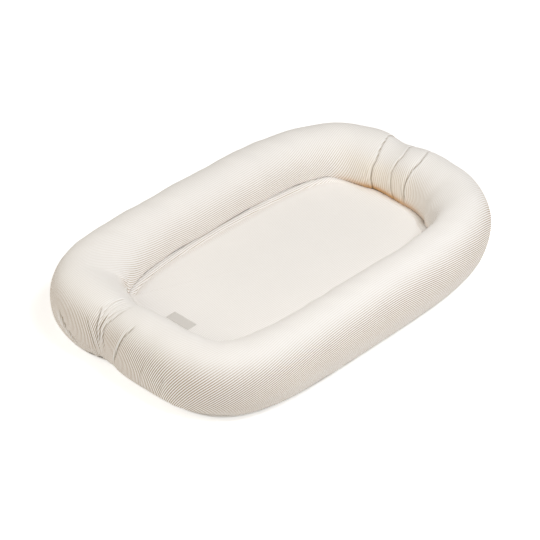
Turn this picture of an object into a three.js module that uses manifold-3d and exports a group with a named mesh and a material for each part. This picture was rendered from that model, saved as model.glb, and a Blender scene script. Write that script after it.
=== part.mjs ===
// Infant lounger: a soft roll round a thin mattress, with a zip in the base.
// Millimetres. +X points to the head end, +Y to the left side, +Z up. The origin is on the
// floor, under the middle of the lounger.
import * as THREE from 'three';
import { mergeVertices } from 'three/addons/utils/BufferGeometryUtils.js';
import Module from 'manifold-3d';

const wasm = await Module();
wasm.setup();

// Overall size of the lounger
const overallLength = 860;
const overallWidth = 572;
const rollHeight = 133;
const rollWidth = 115;

// Plan of the roll: a superellipse, rounder at the head end than at the foot end
const headRoundness = 3.34;
const footRoundness = 5.1;

// Section of the roll: a superellipse that its own weight flattens on the floor
const sectionRoundness = 2.14;
const sectionCentreHeight = 63;

// Fabric, and the clearance between pieces that touch
const fabricThickness = 1.2;
const softGap = 0.3;
const seamGap = 0.5;
const panelSeamGap = 0.8;

// Seams: the outer one low on the roll, the inner one where the lying panel is sewn in
const outerSeamHeight = 17;
const innerSeamHeightSide = 58;
const innerSeamHeightHead = 44;
const innerSeamHeightFoot = 56;
const innerSeamBlendShare = 0.8;

// Gathers at the middle of the short ends, with folds that run over the roll
const gatherOffset = 41;
const gatherDepth = 7.5;
const gatherReach = 34;
const foldDepth = 3.6;
const foldHalfWidth = 7;
const headFoldPlaces = [-33, 10, 63];
const footFoldPlaces = [-9, 30, 52];

// Mattress
const mattressBottomHeight = 11.5;
const mattressEdgeHeight = 52;
const mattressCrown = 5;
const mattressChamfer = 4;
const mattressInsetSide = 9;
const mattressInsetHead = 13;
const mattressInsetFoot = 9;
const mattressSideDraw = 2.5;

// Label on the lying panel
const labelLength = 57;
const labelWidth = 22;
const labelThickness = 0.6;
const labelEdgeDistance = 41;

// Zip in the base
const zipLength = 380;
const zipHeight = 7;
const toothPitch = 3.3;
const toothHeight = 2.4;
const toothBaseWidth = 0.84;
const toothTipWidth = 1.2;
const toothReach = 1.3;
const beadInner = 1.55;
const beadOuter = 2.6;
const tapeWidth = 13;
const tapeThickness = 0.6;
const tapeOverhang = 18;
const zipWindowHalfWidth = 5.6;
const zipWindowOverhang = 14;
const zipLineOverhang = 26;
const basePanelFlatShare = 0.35;
const basePanelSplit = 0.3;

// Slider of the zip
const sliderLength = 9.5;
const sliderNoseWidth = 9.6;
const sliderTailWidth = 7.8;
const sliderPlate = 1;
const sliderFlange = 0.8;
const sliderClearance = 0.3;
const wedgeLength = 3.8;
const wedgeWidth = 2.2;
const wedgeSetback = 0.3;
const stopLength = 1.6;
const stopHeight = 3.8;
const bottomStopLength = 3;

// Pull of the zip, and the bridge on the slider that holds it
const bridgeWidth = 2.2;
const bridgeThickness = 0.8;
const bridgeLength = 6.4;
const pullBar = 1.2;
const pullArm = 1.5;
const pullLength = 24;
const pullHoleLength = 5;
const pullTabWidth = 6;

// Counts of the sampling
const outlineSamples = 2880;
const stepLength = 115;
const stepTurn = 0.235;
const quarterSteps = 3;
const crownShares = [0.9, 0.58];
const cornerSegments = 6;

// Colours and finishes
const fabricFinish = { roughness: 0.92, metalness: 0 };
const colours = {
  stripedCotton: 0xece6dd,
  plainCotton: 0xf0ede8,
  filling: 0xf6f5f2,
  mattress: 0xf2f0ea,
  label: 0xcdcac5,
  zipTape: 0xe9e5dd,
  zipPlastic: 0xe2ded6,
  zipMetal: 0xc2bfb8,
};

// Plan of the roll's centre line

const centreHalfLength = (overallLength - rollWidth) / 2;
const centreHalfWidth = (overallWidth - rollWidth) / 2;

function signedPower(value, power) {
  return Math.sign(value) * Math.abs(value) ** power;
}

function centrePoint(angle) {
  const roundness = Math.cos(angle) > 0 ? headRoundness : footRoundness;
  return new THREE.Vector2(
    centreHalfLength * signedPower(Math.cos(angle), 2 / roundness),
    centreHalfWidth * signedPower(Math.sin(angle), 2 / roundness),
  );
}

// The centre line as many short steps, with the distance walked along it
function walkCentreLine() {
  const points = [];
  for (let i = 0; i <= outlineSamples; i += 1) {
    points.push(centrePoint((2 * Math.PI * i) / outlineSamples));
  }
  const distances = [0];
  for (let i = 1; i < points.length; i += 1) {
    distances.push(distances[i - 1] + points[i].distanceTo(points[i - 1]));
  }
  return { points, distances, total: distances[distances.length - 1] };
}

const walk = walkCentreLine();

function pointAt(distance) {
  const wrapped = ((distance % walk.total) + walk.total) % walk.total;
  let low = 0;
  let high = walk.distances.length - 1;
  while (high - low > 1) {
    const middle = Math.floor((low + high) / 2);
    if (walk.distances[middle] > wrapped) high = middle;
    else low = middle;
  }
  const span = walk.distances[high] - walk.distances[low];
  const share = span > 0 ? (wrapped - walk.distances[low]) / span : 0;
  return walk.points[low].clone().lerp(walk.points[high], share);
}

// Where each ring of the roll stands: closer in the corners, and at each fold of the gathers
function ringDistances() {
  const half = walk.total / 2;
  const stations = [0, half];
  const heading = (s) => {
    const ahead = pointAt(s + foldHalfWidth);
    const behind = pointAt(s - foldHalfWidth);
    return Math.atan2(ahead.y - behind.y, ahead.x - behind.x);
  };
  for (const start of [0, half]) {
    let load = 0;
    const marks = [];
    const step = half / outlineSamples;
    for (let i = 1; i <= outlineSamples; i += 1) {
      const from = start + (i - 1) * step;
      let turn = Math.abs(heading(from + step) - heading(from));
      if (turn > Math.PI) turn = 2 * Math.PI - turn;
      load += step / stepLength + turn / stepTurn;
      marks.push(load);
    }
    const count = Math.round(load);
    let next = 1;
    marks.forEach((mark, i) => {
      if (next < count && mark >= (next * load) / count) {
        stations.push(start + (i + 1) * step);
        next += 1;
      }
    });
  }
  const folds = [];
  const addGather = (middle, direction, places) => {
    folds.push(middle + direction * gatherOffset);
    for (const place of places) {
      for (const side of [-1, 0, 1]) folds.push(middle + direction * place + side * foldHalfWidth);
    }
  };
  addGather(0, 1, headFoldPlaces);
  addGather(half, -1, footFoldPlaces);
  const wrap = (s) => ((s % walk.total) + walk.total) % walk.total;
  const kept = folds.map(wrap);
  for (const s of stations) {
    const near = kept.some((f) => {
      const apart = Math.abs(f - s);
      return Math.min(apart, walk.total - apart) < foldHalfWidth / 2;
    });
    if (!near || s === 0 || s === half) kept.push(s);
  }
  return [...new Set(kept)].sort((a, b) => a - b);
}

// How deep the gathers and their folds draw the section in
function drawIn(distance) {
  const half = walk.total / 2;
  let depth = 0;
  for (const [middle, direction, places] of [[0, 1, headFoldPlaces], [half, -1, footFoldPlaces]]) {
    let along = direction * (distance - middle);
    if (along > half) along -= walk.total;
    if (along < -half) along += walk.total;
    depth += gatherDepth * Math.exp(-(((along - gatherOffset) / gatherReach) ** 2));
    for (const place of places) {
      depth += foldDepth * Math.max(0, 1 - Math.abs(along - place) / foldHalfWidth);
    }
  }
  return depth;
}

const rings = ringDistances().map((distance) => {
  const point = pointAt(distance);
  const ahead = pointAt(distance + foldHalfWidth);
  const behind = pointAt(distance - foldHalfWidth);
  const along = ahead.sub(behind).normalize();
  return {
    distance,
    point,
    outward: new THREE.Vector2(along.y, -along.x),
    drawnIn: drawIn(distance),
  };
});
const footRing = rings.findIndex((ring) => ring.distance === walk.total / 2);

// Section of the roll

function sectionPoint(ring, angle) {
  const halfWidth = rollWidth / 2 - ring.drawnIn;
  const rise = rollHeight - ring.drawnIn - sectionCentreHeight;
  const across = halfWidth * signedPower(Math.cos(angle), 2 / sectionRoundness);
  const up = sectionCentreHeight + rise * signedPower(Math.sin(angle), 2 / sectionRoundness);
  return new THREE.Vector2(across, Math.max(0, up));
}

// The angle below the widest place at which the undrawn section has a given height
function angleBelow(height) {
  const drop = (sectionCentreHeight - height) / (rollHeight - sectionCentreHeight);
  return Math.asin(drop ** (sectionRoundness / 2));
}

const outerSeamAngle = -angleBelow(outerSeamHeight);
const footprintAngle = angleBelow(0);

// A value that changes smoothly from the long sides to each short end
function blendAlong(ring, side, head, foot) {
  const share = Math.abs(ring.point.x) / centreHalfLength;
  const weight = THREE.MathUtils.smoothstep(share, innerSeamBlendShare, 1);
  return THREE.MathUtils.lerp(side, ring.point.x > 0 ? head : foot, weight);
}

function innerSeamAngle(ring) {
  const height = blendAlong(ring, innerSeamHeightSide, innerSeamHeightHead, innerSeamHeightFoot);
  return Math.PI + angleBelow(height);
}

// Anticlockwise from the outer seam: over the top, down to the floor and back under, with
// corners at the widest places and at the top
function sectionAngles(ring) {
  const inner = innerSeamAngle(ring);
  const last = Math.PI + footprintAngle;
  const angles = [outerSeamAngle, outerSeamAngle / 2];
  for (let j = 0; j < 2 * quarterSteps; j += 1) angles.push((j * Math.PI) / 2 / quarterSteps);
  angles.push(inner, (inner + last) / 2, last, 2 * Math.PI - footprintAngle);
  return angles;
}

function sectionLoop(ring) {
  return sectionAngles(ring).map((angle) => sectionPoint(ring, angle));
}

const coverEnd = 2 * quarterSteps + 2;
const liningEnd = coverEnd + 2;
const footprintEnd = coverEnd + 3;

// Moves each corner of a path to its left by a distance, keeping its sides parallel
function offsetPath(points, distance, closed) {
  const count = points.length;
  return points.map((point, i) => {
    const before = closed || i > 0 ? points[(i - 1 + count) % count] : null;
    const after = closed || i < count - 1 ? points[(i + 1) % count] : null;
    const normals = [];
    if (before) normals.push(leftNormal(before, point));
    if (after) normals.push(leftNormal(point, after));
    const sum = normals[0].clone();
    if (normals.length > 1) sum.add(normals[1]);
    sum.normalize();
    return point.clone().addScaledVector(sum, distance / sum.dot(normals[0]));
  });
}

function leftNormal(from, to) {
  const along = to.clone().sub(from).normalize();
  return new THREE.Vector2(-along.y, along.x);
}

function place(ring, sectionXY) {
  return new THREE.Vector3(
    ring.point.x + ring.outward.x * sectionXY.x,
    ring.point.y + ring.outward.y * sectionXY.x,
    sectionXY.y,
  );
}

// Solids made of rings of points

// Joins loops of 3-D points into one closed solid; open runs get an end face at both ends.
// A sheet's loop goes out along one face and back along the other, whose squares are then cut
// the same way as those they lie under.
function loftLoops(loops, closedRun, sheet = false) {
  const positions = [];
  const loopSize = loops[0].length;
  for (const loop of loops) for (const point of loop) positions.push(point.x, point.y, point.z);
  const faces = [];
  const last = closedRun ? loops.length : loops.length - 1;
  for (let i = 0; i < last; i += 1) {
    const next = (i + 1) % loops.length;
    for (let j = 0; j < loopSize; j += 1) {
      const k = (j + 1) % loopSize;
      const a = i * loopSize + j;
      const b = next * loopSize + j;
      const c = next * loopSize + k;
      const d = i * loopSize + k;
      const goesBack = sheet && j >= loopSize / 2;
      if (goesBack) faces.push([a, b, d], [b, c, d]);
      else faces.push([a, b, c], [a, c, d]);
    }
  }
  if (!closedRun) {
    addEndFace(faces, loops[0], 0, false);
    addEndFace(faces, loops[loops.length - 1], (loops.length - 1) * loopSize, true);
  }
  return closedGeometry(positions, faces);
}

function addEndFace(faces, loop, first, flipped) {
  const origin = loop[0];
  const far = loop.reduce((a, b) => (flatDistance(b, origin) > flatDistance(a, origin) ? b : a));
  const across = new THREE.Vector2(far.x - origin.x, far.y - origin.y).normalize();
  const flat = loop.map((p) => new THREE.Vector2(
    (p.x - origin.x) * across.x + (p.y - origin.y) * across.y,
    p.z,
  ));
  const clockwise = THREE.ShapeUtils.isClockWise(flat);
  for (const [a, b, c] of THREE.ShapeUtils.triangulateShape(flat, [])) {
    const turned = clockwise !== flipped;
    faces.push(turned ? [first + a, first + c, first + b] : [first + a, first + b, first + c]);
  }
}

function flatDistance(a, b) {
  return Math.hypot(a.x - b.x, a.y - b.y);
}

// Merges shared corners, drops flat triangles and turns the faces outwards
function closedGeometry(positions, faces) {
  const raw = new THREE.BufferGeometry();
  raw.setAttribute('position', new THREE.Float32BufferAttribute(positions, 3));
  raw.setIndex(faces.flat());
  const merged = mergeVertices(raw);
  const index = merged.getIndex();
  const kept = [];
  for (let i = 0; i < index.count; i += 3) {
    const [a, b, c] = [index.getX(i), index.getX(i + 1), index.getX(i + 2)];
    if (a !== b && b !== c && a !== c) kept.push(a, b, c);
  }
  if (signedVolume(merged.getAttribute('position'), kept) < 0) kept.reverse();
  merged.setIndex(kept);
  merged.computeVertexNormals();
  return merged;
}

function signedVolume(position, index) {
  const corner = (n) => new THREE.Vector3().fromBufferAttribute(position, n);
  let volume = 0;
  for (let i = 0; i < index.length; i += 3) {
    const [a, b, c] = [corner(index[i]), corner(index[i + 1]), corner(index[i + 2])];
    volume += a.dot(b.cross(c));
  }
  return volume;
}

// Booleans

function toManifold(geometry) {
  const plain = geometry.clone();
  plain.deleteAttribute('normal');
  plain.deleteAttribute('uv');
  const merged = mergeVertices(plain);
  return new wasm.Manifold(new wasm.Mesh({
    numProp: 3,
    vertProperties: merged.getAttribute('position').array,
    triVerts: Uint32Array.from(merged.getIndex().array),
  }));
}

function fromManifold(solid) {
  const mesh = solid.getMesh();
  const geometry = new THREE.BufferGeometry();
  geometry.setAttribute('position', new THREE.Float32BufferAttribute(mesh.vertProperties, 3));
  geometry.setIndex(Array.from(mesh.triVerts));
  geometry.computeVertexNormals();
  return geometry;
}

function fuse(geometries) {
  return fromManifold(geometries.map(toManifold).reduce((a, b) => a.add(b)));
}

function block(low, high) {
  const size = new THREE.Vector3().subVectors(high, low);
  const middle = new THREE.Vector3().addVectors(low, high).multiplyScalar(1 / 2);
  const box = new THREE.BoxGeometry(size.x, size.y, size.z);
  return box.translate(middle.x, middle.y, middle.z);
}

// A flat outline in X and Y, from one height to another
function plate(outline, bottom, top) {
  const shape = new THREE.Shape(outline);
  const solid = new THREE.ExtrudeGeometry(shape, {
    depth: top - bottom,
    bevelEnabled: false,
    curveSegments: cornerSegments,
  });
  return solid.translate(0, 0, bottom);
}

// Roll

function makeRollCover() {
  const loops = rings.map((ring) => {
    const loop = sectionLoop(ring);
    const inside = offsetPath(loop, fabricThickness, true);
    const outer = loop.slice(0, coverEnd + 1);
    const inner = inside.slice(0, coverEnd + 1).reverse();
    return [...outer, ...inner].map((p) => place(ring, p));
  });
  return loftLoops(loops, true, true);
}

// Each half of the filling runs from one gather to the other
function makeRollFilling(side) {
  const half = walk.total / 2;
  const headGather = gatherOffset;
  const footGather = half - gatherOffset;
  const span = side > 0 ? [headGather, footGather] : [footGather, walk.total + headGather];
  const from = rings.findIndex((r) => Math.abs(r.distance - (span[0] % walk.total)) < seamGap);
  const to = rings.findIndex((r) => Math.abs(r.distance - (span[1] % walk.total)) < seamGap);
  const count = (to - from + rings.length) % rings.length;
  const loops = [];
  for (let i = 0; i <= count; i += 1) {
    const ring = rings[(from + i) % rings.length];
    let shift = 0;
    if (i === 0) shift = softGap / 2;
    if (i === count) shift = -softGap / 2;
    const along = new THREE.Vector2(-ring.outward.y, ring.outward.x).multiplyScalar(shift);
    const loop = offsetPath(sectionLoop(ring), fabricThickness + softGap, true);
    loops.push(loop.map((p) => place(ring, p).add(new THREE.Vector3(along.x, along.y, 0))));
  }
  return loftLoops(loops, false);
}

// A point on the way from one point to the next, a given distance along
function towards(from, to, distance) {
  return from.clone().lerp(to, distance / from.distanceTo(to));
}

function makeChannelLining() {
  const loops = rings.map((ring) => {
    const section = sectionLoop(ring);
    const inside = offsetPath(section, fabricThickness, true);
    const run = (loop) => {
      const top = towards(loop[coverEnd], loop[coverEnd + 1], seamGap);
      const foot = towards(loop[liningEnd], loop[liningEnd - 1], liningFootClearance);
      return [top, loop[coverEnd + 1], foot];
    };
    return [...run(section), ...run(inside).reverse()].map((p) => place(ring, p));
  });
  return loftLoops(loops, true, true);
}

// Mattress and lying panel

function mattressEdge(ring) {
  const inset = blendAlong(ring, mattressInsetSide, mattressInsetHead, mattressInsetFoot);
  return -(rollWidth / 2 + inset);
}

// A ring of the crown: the edge drawn towards the middle of the lounger and lifted
function crownPoint(ring, across, height, share) {
  const edge = place(ring, new THREE.Vector2(across, height));
  const lift = mattressCrown * (1 - share ** 2);
  return new THREE.Vector3(edge.x * share, edge.y * share, height + lift);
}

function makeMattress() {
  const loops = rings.map((ring) => {
    const edge = mattressEdge(ring);
    const drawn = edge - mattressSideDraw;
    const rim = edge - mattressChamfer;
    const top = mattressEdgeHeight;
    const bottom = mattressBottomHeight;
    const middle = (top + bottom) / 2;
    const side = [
      [rim, top],
      [edge, top - mattressChamfer],
      [drawn, middle],
      [edge, bottom + mattressChamfer],
      [rim, bottom],
    ].map(([across, height]) => place(ring, new THREE.Vector2(across, height)));
    return [
      new THREE.Vector3(0, 0, bottom),
      new THREE.Vector3(0, 0, top + mattressCrown),
      ...[...crownShares].reverse().map((share) => crownPoint(ring, rim, top, share)),
      ...side,
    ];
  });
  return loftLoops(loops, true);
}

// Bottom and top of the lying panel along one ring, from the inner seam to the middle
function makeLyingPanel() {
  const loops = rings.map((ring) => {
    const section = sectionLoop(ring);
    const outside = offsetPath(section, -panelSeamGap, true);
    const edge = mattressEdge(ring);
    const chamferGap = softGap * 2;
    const path = [
      outside[coverEnd],
      new THREE.Vector2(edge, mattressEdgeHeight - mattressChamfer + chamferGap),
      new THREE.Vector2(edge - mattressChamfer, mattressEdgeHeight + chamferGap),
      new THREE.Vector2(edge - mattressChamfer * 2, mattressEdgeHeight + chamferGap),
    ];
    const above = offsetPath(path, -fabricThickness, false);
    const height = path[2].y;
    const sheet = (run, lift) => [
      ...run.slice(0, 3).map((p) => place(ring, p)),
      ...crownShares.map((share) => crownPoint(ring, path[2].x, height, share).setZ(
        height + mattressCrown * (1 - share ** 2) + lift,
      )),
      new THREE.Vector3(0, 0, height + mattressCrown + lift),
    ];
    return [...sheet(path, 0), ...sheet(above, fabricThickness).reverse()];
  });
  return loftLoops(loops, true, true);
}

// The label lies on the crown of the panel, its long side across the lounger
function makeLabel() {
  const edge = centreHalfLength - rollWidth / 2 - mattressInsetFoot;
  const height = (x) => {
    const share = Math.abs(x) / (edge - mattressChamfer);
    return mattressEdgeHeight + softGap * 2 + fabricThickness + mattressCrown * (1 - share ** 2);
  };
  const near = labelEdgeDistance + labelWidth / 2 - edge;
  const far = labelEdgeDistance - labelWidth / 2 - edge;
  const loops = [near, far].map((x) => [
    new THREE.Vector3(x, -labelLength / 2, height(x) + softGap),
    new THREE.Vector3(x, labelLength / 2, height(x) + softGap),
    new THREE.Vector3(x, labelLength / 2, height(x) + softGap + labelThickness),
    new THREE.Vector3(x, -labelLength / 2, height(x) + softGap + labelThickness),
  ]);
  return loftLoops(loops, false);
}

// Base, with a window for the zip

const zipHead = zipLength / 2;
const zipTail = -zipLength / 2;
const tapeBottom = zipHeight - tapeThickness / 2;
const basePanelTopAtZip = tapeBottom - softGap;
const liningFootClearance = 3 * (fabricThickness + softGap);

// Where each ring of one half of the base meets the line of the zip. The ring nearest to each
// end of the window stands on that end.
function zipLinePlaces(side) {
  const from = side > 0 ? 0 : footRing;
  const to = side > 0 ? footRing : rings.length;
  const halfWalk = walk.total / 2;
  const lineEnd = zipHead + zipLineOverhang;
  const places = [];
  for (let i = from; i <= to; i += 1) {
    const walked = i === to ? halfWalk : rings[i].distance - rings[from].distance;
    const x = side * lineEnd * (1 - (2 * walked) / halfWalk);
    places.push({ ring: rings[i % rings.length], x });
  }
  for (const end of [-1, 1]) {
    const windowEnd = end * (zipHead + zipWindowOverhang);
    const apart = (place) => Math.abs(place.x - windowEnd);
    const nearest = places.reduce((a, b) => (apart(b) < apart(a) ? b : a));
    nearest.x = windowEnd;
  }
  return places;
}

function makeBasePanel(side) {
  const loops = [];
  for (const { ring, x } of zipLinePlaces(side)) {
    const inWindow = Math.abs(x) <= zipHead + zipWindowOverhang;
    const y = side * (inWindow ? zipWindowHalfWidth : basePanelSplit / 2);
    const section = sectionLoop(ring);
    const underTop = mattressBottomHeight - softGap - fabricThickness;
    const path = [
      towards(section[0], section[footprintEnd], seamGap),
      section[footprintEnd],
      section[liningEnd],
      new THREE.Vector2(mattressEdge(ring) - mattressChamfer, underTop),
    ].reverse();
    const bottom = [...path];
    const top = offsetPath(path, fabricThickness, false);
    const line = new THREE.Vector3(x, y, 0);
    const keepSide = (p) => {
      const split = (side * basePanelSplit) / 2;
      if (side * p.y < side * split) p.setY(split);
      return p;
    };
    const sheet = (run, height) => {
      const outerPart = run.map((p) => keepSide(place(ring, p)));
      const rim = outerPart[0].clone().setZ(0);
      const flat = keepSide(line.clone().lerp(rim, basePanelFlatShare));
      return [line.clone().setZ(height), flat.setZ(height), ...outerPart];
    };
    loops.push([
      ...sheet(bottom, basePanelTopAtZip - fabricThickness),
      ...sheet(top, basePanelTopAtZip).reverse(),
    ]);
  }
  return loftLoops(loops, false, true);
}

// Zip

function makeTape(side) {
  const inner = side * (beadOuter + softGap);
  const outer = side * (beadOuter + softGap + tapeWidth);
  return block(
    new THREE.Vector3(zipTail - tapeOverhang, Math.min(inner, outer), tapeBottom),
    new THREE.Vector3(zipHead + tapeOverhang, Math.max(inner, outer), tapeBottom + tapeThickness),
  );
}

// A row of moulded teeth on its bead, each tooth wider at its tip so that the rows interlock
function makeTeeth(side) {
  const count = Math.floor(zipLength / toothPitch);
  const lead = side > 0 ? toothPitch / 4 : (3 * toothPitch) / 4;
  const outline = [
    new THREE.Vector2(zipHead, side * beadInner),
    new THREE.Vector2(zipHead, side * beadOuter),
    new THREE.Vector2(zipTail, side * beadOuter),
    new THREE.Vector2(zipTail, side * beadInner),
  ];
  for (let k = 0; k < count; k += 1) {
    const middle = zipTail + lead + k * toothPitch;
    outline.push(
      new THREE.Vector2(middle - toothBaseWidth / 2, side * beadInner),
      new THREE.Vector2(middle - toothTipWidth / 2, -side * toothReach),
      new THREE.Vector2(middle + toothTipWidth / 2, -side * toothReach),
      new THREE.Vector2(middle + toothBaseWidth / 2, side * beadInner),
    );
  }
  return plate(outline, zipHeight - toothHeight / 2, zipHeight + toothHeight / 2);
}

// The slider stands at the head end of the zip, with its wedge just past the last tooth
const sliderTail = zipHead + softGap - (sliderLength - wedgeSetback - wedgeLength);
const sliderNose = sliderTail + sliderLength;
const channelHalf = toothHeight / 2 + sliderClearance;
const plateBottom = zipHeight - channelHalf - sliderPlate;
const plateTop = zipHeight + channelHalf + sliderPlate;
const pullAxisHeight = plateBottom - sliderClearance - pullBar / 2;
const pullAxisPlace = sliderTail + sliderLength / 2;

function sliderOutline() {
  const corner = sliderPlate;
  const shoulder = sliderNose - wedgeLength;
  const nose = sliderNoseWidth / 2;
  const tail = sliderTailWidth / 2;
  const halfOutline = [
    [sliderTail, tail - corner],
    [sliderTail + corner, tail],
    [shoulder - corner, tail],
    [shoulder + corner, nose],
    [sliderNose - corner, nose],
    [sliderNose, nose - corner],
  ];
  const left = halfOutline.map(([x, y]) => new THREE.Vector2(x, y));
  const right = [...halfOutline].reverse().map(([x, y]) => new THREE.Vector2(x, -y));
  return [...left, ...right];
}

// A strip along one edge of the slider's outline, which guides the bead of the teeth
function sliderFlangeOutline(side) {
  const outline = sliderOutline();
  const outer = outline.slice(1, 5);
  const inner = outer.map((p) => new THREE.Vector2(p.x, p.y - sliderFlange)).reverse();
  return [...outer, ...inner].map((p) => new THREE.Vector2(p.x, side * p.y));
}

function makeSlider() {
  const outline = sliderOutline();
  const slotHalf = tapeThickness / 2 + sliderClearance;
  const pieces = [
    plate(outline, plateBottom, plateBottom + sliderPlate),
    plate(outline, plateTop - sliderPlate, plateTop),
  ];
  for (const side of [-1, 1]) {
    const flange = sliderFlangeOutline(side);
    pieces.push(plate(flange, plateBottom, zipHeight - slotHalf));
    pieces.push(plate(flange, zipHeight + slotHalf, plateTop));
  }
  const wedgeNose = sliderNose - wedgeSetback;
  const wedge = [
    new THREE.Vector2(wedgeNose - wedgeLength, 0),
    new THREE.Vector2(wedgeNose - wedgeLength / 2, -wedgeWidth / 2),
    new THREE.Vector2(wedgeNose, 0),
    new THREE.Vector2(wedgeNose - wedgeLength / 2, wedgeWidth / 2),
  ];
  pieces.push(plate(wedge, plateBottom, plateTop));
  pieces.push(makeBridge());
  return fuse(pieces);
}

// The arch under the slider through which the pull's bar passes
function makeBridge() {
  const lowest = pullAxisHeight - pullBar / 2 - sliderClearance - bridgeThickness;
  const near = pullAxisPlace - bridgeLength / 2;
  const far = pullAxisPlace + bridgeLength / 2;
  const span = (from, to, bottom, top) => block(
    new THREE.Vector3(from, -bridgeWidth / 2, bottom),
    new THREE.Vector3(to, bridgeWidth / 2, top),
  );
  return fuse([
    span(near, far, lowest, lowest + bridgeThickness),
    span(near, near + bridgeThickness, lowest, plateBottom + sliderPlate / 2),
    span(far - bridgeThickness, far, lowest, plateBottom + sliderPlate / 2),
  ]);
}

// The pull lies back over the closed teeth: a bar, a pair of arms and a rounded tab
function makePull() {
  const half = bridgeWidth / 2 + sliderClearance;
  const outer = half + pullArm;
  const bar = new THREE.CylinderGeometry(pullBar / 2, pullBar / 2, outer * 2, 2 * cornerSegments);
  bar.translate(pullAxisPlace, 0, pullAxisHeight);
  const bottom = pullAxisHeight - pullBar / 2;
  const top = pullAxisHeight + pullBar / 2;
  const eyeEnd = pullAxisPlace - pullHoleLength;
  const pieces = [bar];
  for (const side of [-1, 1]) {
    pieces.push(block(
      new THREE.Vector3(eyeEnd, Math.min(side * half, side * outer), bottom),
      new THREE.Vector3(pullAxisPlace, Math.max(side * half, side * outer), top),
    ));
  }
  const tab = new THREE.Shape();
  const tabHalf = pullTabWidth / 2;
  const tabEnd = pullAxisPlace - pullLength;
  tab.moveTo(eyeEnd + pullArm / 2, -outer);
  tab.lineTo(eyeEnd + pullArm / 2, outer);
  tab.lineTo(eyeEnd - pullArm, outer);
  tab.lineTo(tabEnd + tabHalf, tabHalf);
  tab.absarc(tabEnd + tabHalf, 0, tabHalf, Math.PI / 2, (3 * Math.PI) / 2, false);
  tab.lineTo(eyeEnd - pullArm, -outer);
  pieces.push(plate(tab.getPoints(cornerSegments), bottom, top));
  return fuse(pieces);
}

function makeTopStop(side) {
  const inner = side * beadInner;
  const outer = side * beadOuter;
  const from = sliderNose + softGap;
  return block(
    new THREE.Vector3(from, Math.min(inner, outer), zipHeight - stopHeight / 2),
    new THREE.Vector3(from + stopLength, Math.max(inner, outer), zipHeight + stopHeight / 2),
  );
}

function makeBottomStop() {
  const to = zipTail - softGap;
  return block(
    new THREE.Vector3(to - bottomStopLength, -beadOuter, zipHeight - stopHeight / 2),
    new THREE.Vector3(to, beadOuter, zipHeight + stopHeight / 2),
  );
}

// Assembly

const lounger = new THREE.Group();

function addPart(name, geometry, colour, finish = fabricFinish) {
  const mesh = new THREE.Mesh(geometry, new THREE.MeshStandardMaterial({ color: colour, ...finish }));
  mesh.name = name;
  lounger.add(mesh);
}

const plastic = { roughness: 0.45, metalness: 0 };
const metal = { roughness: 0.3, metalness: 0.9 };

addPart('roll_cover', makeRollCover(), colours.stripedCotton);
addPart('lying_panel', makeLyingPanel(), colours.stripedCotton);
addPart('channel_lining', makeChannelLining(), colours.plainCotton);
addPart('mattress', makeMattress(), colours.mattress);
addPart('label', makeLabel(), colours.label);
addPart('zip_bottom_stop', makeBottomStop(), colours.zipPlastic, plastic);
addPart('zip_slider', makeSlider(), colours.zipMetal, metal);
addPart('zip_pull', makePull(), colours.zipMetal, metal);
for (const [word, side] of [['left', 1], ['right', -1]]) {
  addPart(`roll_filling_${word}`, makeRollFilling(side), colours.filling);
  addPart(`base_panel_${word}`, makeBasePanel(side), colours.plainCotton);
  addPart(`zip_tape_${word}`, makeTape(side), colours.zipTape);
  addPart(`zip_teeth_${word}`, makeTeeth(side), colours.zipPlastic, plastic);
  addPart(`zip_top_stop_${word}`, makeTopStop(side), colours.zipPlastic, plastic);
}

export default lounger;
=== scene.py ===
import math
from typing import NamedTuple

import bmesh
import bpy
import numpy as np
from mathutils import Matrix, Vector


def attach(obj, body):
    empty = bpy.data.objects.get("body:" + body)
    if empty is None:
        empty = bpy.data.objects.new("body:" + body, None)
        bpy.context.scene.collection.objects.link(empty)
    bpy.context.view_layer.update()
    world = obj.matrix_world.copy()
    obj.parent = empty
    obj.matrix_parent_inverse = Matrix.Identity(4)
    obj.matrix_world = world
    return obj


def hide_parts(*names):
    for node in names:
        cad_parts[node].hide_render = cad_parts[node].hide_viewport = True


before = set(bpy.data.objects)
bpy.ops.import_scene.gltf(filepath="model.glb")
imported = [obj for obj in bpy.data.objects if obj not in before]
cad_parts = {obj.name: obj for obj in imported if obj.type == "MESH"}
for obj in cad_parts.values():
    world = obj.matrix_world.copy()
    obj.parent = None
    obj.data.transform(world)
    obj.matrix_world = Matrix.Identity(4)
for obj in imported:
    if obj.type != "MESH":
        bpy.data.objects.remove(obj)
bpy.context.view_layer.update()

MM = 0.001

# Sizes repeated from the CAD source
OVERALL_LENGTH = 860 * MM
OVERALL_WIDTH = 572 * MM
ROLL_HEIGHT = 133 * MM
ROLL_WIDTH = 115 * MM
HEAD_ROUNDNESS = 3.34
FOOT_ROUNDNESS = 5.1
SECTION_ROUNDNESS = 2.14
SECTION_CENTRE_HEIGHT = 63 * MM
FABRIC_THICKNESS = 1.2 * MM
SOFT_GAP = 0.3 * MM
SEAM_GAP = 0.5 * MM
OUTER_SEAM_HEIGHT = 17 * MM
INNER_SEAM_HEIGHTS = (58 * MM, 44 * MM, 56 * MM)
INNER_SEAM_BLEND_SHARE = 0.8
GATHER_OFFSET = 41 * MM
GATHER_DEPTH = 7.5 * MM
GATHER_REACH = 34 * MM
MATTRESS_BOTTOM_HEIGHT = 11.5 * MM
MATTRESS_EDGE_HEIGHT = 52 * MM
MATTRESS_CROWN = 5 * MM
MATTRESS_CHAMFER = 4 * MM
MATTRESS_INSETS = (9 * MM, 13 * MM, 9 * MM)
MATTRESS_SIDE_DRAW = 2.5 * MM
LABEL_LENGTH = 57 * MM
LABEL_WIDTH = 22 * MM
LABEL_THICKNESS = 0.6 * MM
LABEL_EDGE_DISTANCE = 41 * MM
ZIP_LENGTH = 380 * MM
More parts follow.
